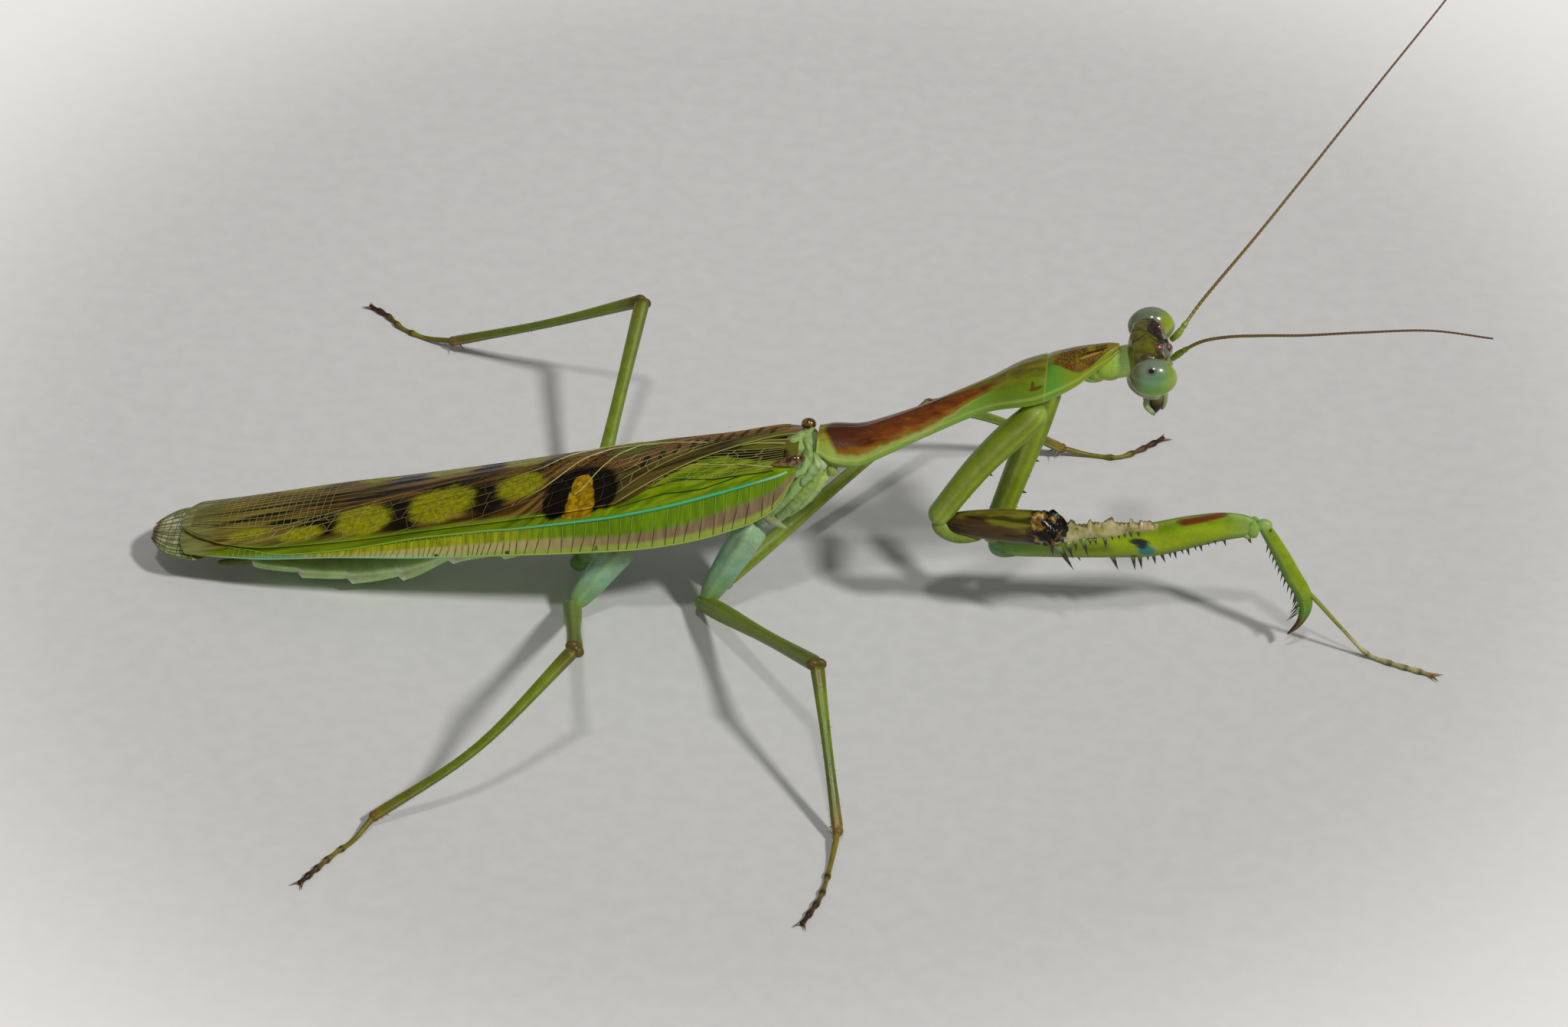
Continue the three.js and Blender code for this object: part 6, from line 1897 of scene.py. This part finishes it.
settle(thorns("grasping_leg_thorns", femur_thorns + tibia_teeth, THORN), "torn_skin")
warts = coxa_warts(FORE_LEFT, (0.457, 0.66)) + coxa_warts(FORE_RIGHT, (0.32, 0.54))
settle(thorns("coxa_points", warts, WART, 10, 0.0), "torn_skin")
spurs = [spur for leg in WALKING_LEGS.values() for spur in tibia_spurs(leg)]
settle(thorns("walking_leg_spurs", spurs, CLAW), "foot_skin")


def leg_hairs():
    """Short bristles in rows down the walking legs' tibiae."""
    rng = random.Random(11)
    rows = []
    for leg in WALKING_LEGS.values():
        middle = (np.array(leg["knee"]) + np.array(leg["heel"])) / 2 + np.array(leg["bow"])
        path = Path([leg["knee"], middle, leg["heel"]])
        count = int(path.length / 0.5)
        for k in range(count):
            share = (k + 0.5) / count
            along = path.along(share)
            turn = rng.uniform(0, 2 * math.pi)
            side = unit(np.cross(along, [0.3, 0.2, 1.0]))
            other = np.cross(along, side)
            out = side * math.cos(turn) + other * math.sin(turn)
            rows.append([path.at(share) + out * 0.27, out * 0.3 + along * 0.22, 0.022])
    return rows


settle(thorns("leg_bristles", leg_hairs(), CLAW, 5), "foot_skin")

# ---------- the injured right thigh ----------

STUMP_PATH = [[12.0, -1.53, 10.5], [13.4, -1.56, 10.6], [15.5, -1.6, 10.75], [21.3, -1.65, 10.8]]


def stump_shape():
    """A lens-shaped thigh whose far end is torn open."""
    stops = [[0, "#35240e"], [0.06, "#3c2c14"], [0.3, "#3f2c10"], [0.7, "#4a3a12"], [0.9, "#1c1208"],
             [1, BLACK]]
    shape = limb(STUMP_PATH, STUMP, stops, sides=48, stations=130)
    x = shape.points[:, 0]
    rough = smooth_step(x, 18.2, 20.6)
    wave = np.sin(shape.points @ np.array([5.1, 3.7, 4.3])) * np.sin(shape.points @ np.array([2.9, -4.6,
                                                                                              6.1]))
    middle = np.array([0, -1.63, 10.8])
    outward = (shape.points - middle) * np.array([0, 1, 1])
    shape.points += outward * (wave * 0.2 * rough)[:, None]
    return shape


def stump_material():
    """Glossy brown thigh, olive and dark streaks along it; black, gold and turquoise where it is torn, with
    pale tan flecks painted on the wound as highlights.
    """
    f = Finish("torn_thigh")
    tint = f.attribute("tint", "Color")
    reach = f.apart(f.attribute("limb_place", "Vector"))[0]
    cloud = f.noise(1.5, 3, stretch=(0.25, 1, 1))
    base = f.paint(tint, "#6b6a14", cloud, 0.48, 0.62, 0.9)
    base = f.paint(base, "#170d05", f.noise(0.6, 3, stretch=(0.14, 1, 1)), 0.5, 0.36, 0.8)
    torn = f.fade(f.plus(reach, f.times(f.noise(0.8, 3), 2.6)), 7.4, 8.2)
    scraps = f.noise(0.75, 4)
    wound_with_glints = f.paint(BLACK, "#6a4c14", scraps, 0.54, 0.58)
    # painted highlights: pale tan flecks on the wound
    wound_with_glints = f.paint(wound_with_glints, "#a08a4c", scraps, 0.61, 0.66)
    wound_with_glints = f.paint(wound_with_glints, "#4d8f7c", f.noise(1.0, 2), 0.64, 0.7, 0.8)
    base = f.blend(torn, base, wound_with_glints)
    relief = f.bump(f.noise(0.5, 4), 0.1, f.fade(torn, 0, 1, 0.12, 0.9))
    return f.done(base, f.rough(scraps, 0.14, 0.28), relief, Specular_IOR_Level=0.22,
                  Coat_Weight=0.06, Coat_Roughness=0.1)


def strip_shape():
    """The ragged strip of skin past the stump, thin and torn along its upper edge."""
    lines, stations = 16, 120
    rng = np.random.default_rng(3)
    start, end = np.array(STRIP["from"]), np.array(STRIP["to"])
    heights = STRIP["heights"]
    ragged = np.repeat(rng.uniform(-0.28, 0.1, stations // 4), 4)
    rows = []
    for k, share in enumerate(np.linspace(0, 1, stations)):
        height = np.interp(share * (len(heights) - 1), range(len(heights)), heights) + ragged[k]
        levels = np.linspace(0, 1, lines)
        row = between(start, end, share)[None] + np.outer(levels * max(0.25, height), [0, 0, 1])
        row[:, 1] -= STRIP["bulge"] * np.sin(levels * math.pi) + 0.07 * np.sin(levels * 5 + share * 15)
        rows.append(row)
    marks = [[[share, level, 0] for level in np.linspace(0, 1, lines)] for share in np.linspace(0, 1,
                                                                                                stations)]
    return sheet_shape(rows, (0, -1, 0), 0.1, strip_place=marks)


def strip_material():
    """Dry, horny skin, greenish where the light comes through, with a dark torn edge."""
    f = Finish("dry_torn_skin")
    share, level, _ = f.apart(f.attribute("strip_place", "Vector"))
    cloud = f.noise(0.9, 4)
    base = f.paint("#908e46", "#c0b885", cloud, 0.35, 0.6)
    base = f.paint(base, "#a8845c", share, 0.6, 0.95, 0.6)
    ragged = f.plus(level, f.times(f.minus(f.noise(0.5, 3), 0.5), 0.5))
    base = f.paint(base, "#3f2410", ragged, 0.86, 0.97, 0.8)
    base = f.paint(base, "#4a2c14", f.noise(0.4, 4), 0.62, 0.7, 0.7)
    f.shader.inputs["Transmission Weight"].default_value = 0.12
    return f.done(base, f.rough(cloud, 0.25, 0.45), f.bump(f.noise(0.35, 4), 0.05, 0.5),
                  Subsurface_Weight=0.15, Subsurface_Radius=(1, 0.8, 0.6), Subsurface_Scale=0.3 * MM)


stump = coat(mesh_object("torn_thigh", stump_shape(), 45), stump_material())
settle(stump, "torn_skin", "foreleg_right_femur")
settle(coat(mesh_object("torn_strip", strip_shape(), 60), strip_material()), "torn_skin")
torn_thorns = thorn_row(TORN_THORNS, -1.72, -0.1)
settle(thorns("torn_leg_thorns", torn_thorns, THORN), "torn_skin")

# ---------- floor, light and camera ----------

FLOOR_REACH = 3.0
PAINTED_LIGHT_MIDDLE = (-0.0042, 0.0225, 0.0)  # painted light: the paper's tint is brightened toward white away from here
PAINTED_LIGHT_HALF = (0.0602, 0.067, 1.0)


def floor_material():
    f = Finish("pale_paper")
    grain = f.noise(1.5, 3)
    base = f.paint("#c5c5c6", "#c9c9ca", grain, 0.3, 0.7)
    away = f.vector("LENGTH", f.vector("DIVIDE", f.vector("SUBTRACT", f.place, PAINTED_LIGHT_MIDDLE), PAINTED_LIGHT_HALF))
    # painted light: the paper paler, near white, away from the middle
    base = f.paint(base, "#fbfafa", away, 0.85, 1.6)
    return f.done(base, f.rough(grain, 0.85, 0.95), f.bump(grain, 0.02, 0.2))


plane = bpy.data.meshes.new("paper_floor")
plane.from_pydata([(x * FLOOR_REACH, y * FLOOR_REACH, 0.0) for x,
                   y in ((-1, -1), (1, -1), (1, 1), (-1, 1))], [], [(0, 1, 2, 3)])
floor = coat(shown("paper_floor", plane), floor_material())


def face(obj, back):
    """Turns a lamp or camera so that its back points along a direction."""
    obj.rotation_mode = "QUATERNION"
    obj.rotation_quaternion = back.to_track_quat("Z", "Y")


def sun(name, direction, strength, tint, spread):
    lamp = bpy.data.lights.new(name, "SUN")
    lamp.energy = strength
    lamp.color = tint
    lamp.angle = math.radians(spread)
    face(shown(name, lamp), Vector(direction))


sun("key_light", direction=(0.76, -0.56, 1.0), strength=2.06, tint=(1.0, 0.985, 0.955), spread=5.5)
sun("second_light", direction=(0.07, -0.51, 1.0), strength=0.62, tint=(1.0, 0.985, 0.96), spread=4.0)

world = bpy.data.worlds.new("studio_sky")
world.use_nodes = True
for label, value in {"Color": (1.0, 0.985, 0.93, 1), "Strength": 0.22}.items():
    world.node_tree.nodes["Background"].inputs[label].default_value = value
bpy.context.scene.world = world
bpy.context.scene.view_settings.view_transform = "Standard"

CAMERA_AT = (0.0416, -0.32433, 0.2469)
CAMERA_AIM = (-0.00274, 0.0125, 0.0)
SENSOR_MM, LENS_PX, WIDTH_PX = 36, 7140, 2048  # the focal length in pixels of a frame this wide
lens = bpy.data.cameras.new("camera")
lens.sensor_width = SENSOR_MM
lens.lens = SENSOR_MM * LENS_PX / WIDTH_PX
lens.clip_start, lens.clip_end = 0.01, 20
camera = shown("camera", lens)
camera.location = CAMERA_AT
face(camera, Vector(CAMERA_AT) - Vector(CAMERA_AIM))
bpy.context.scene.camera = camera
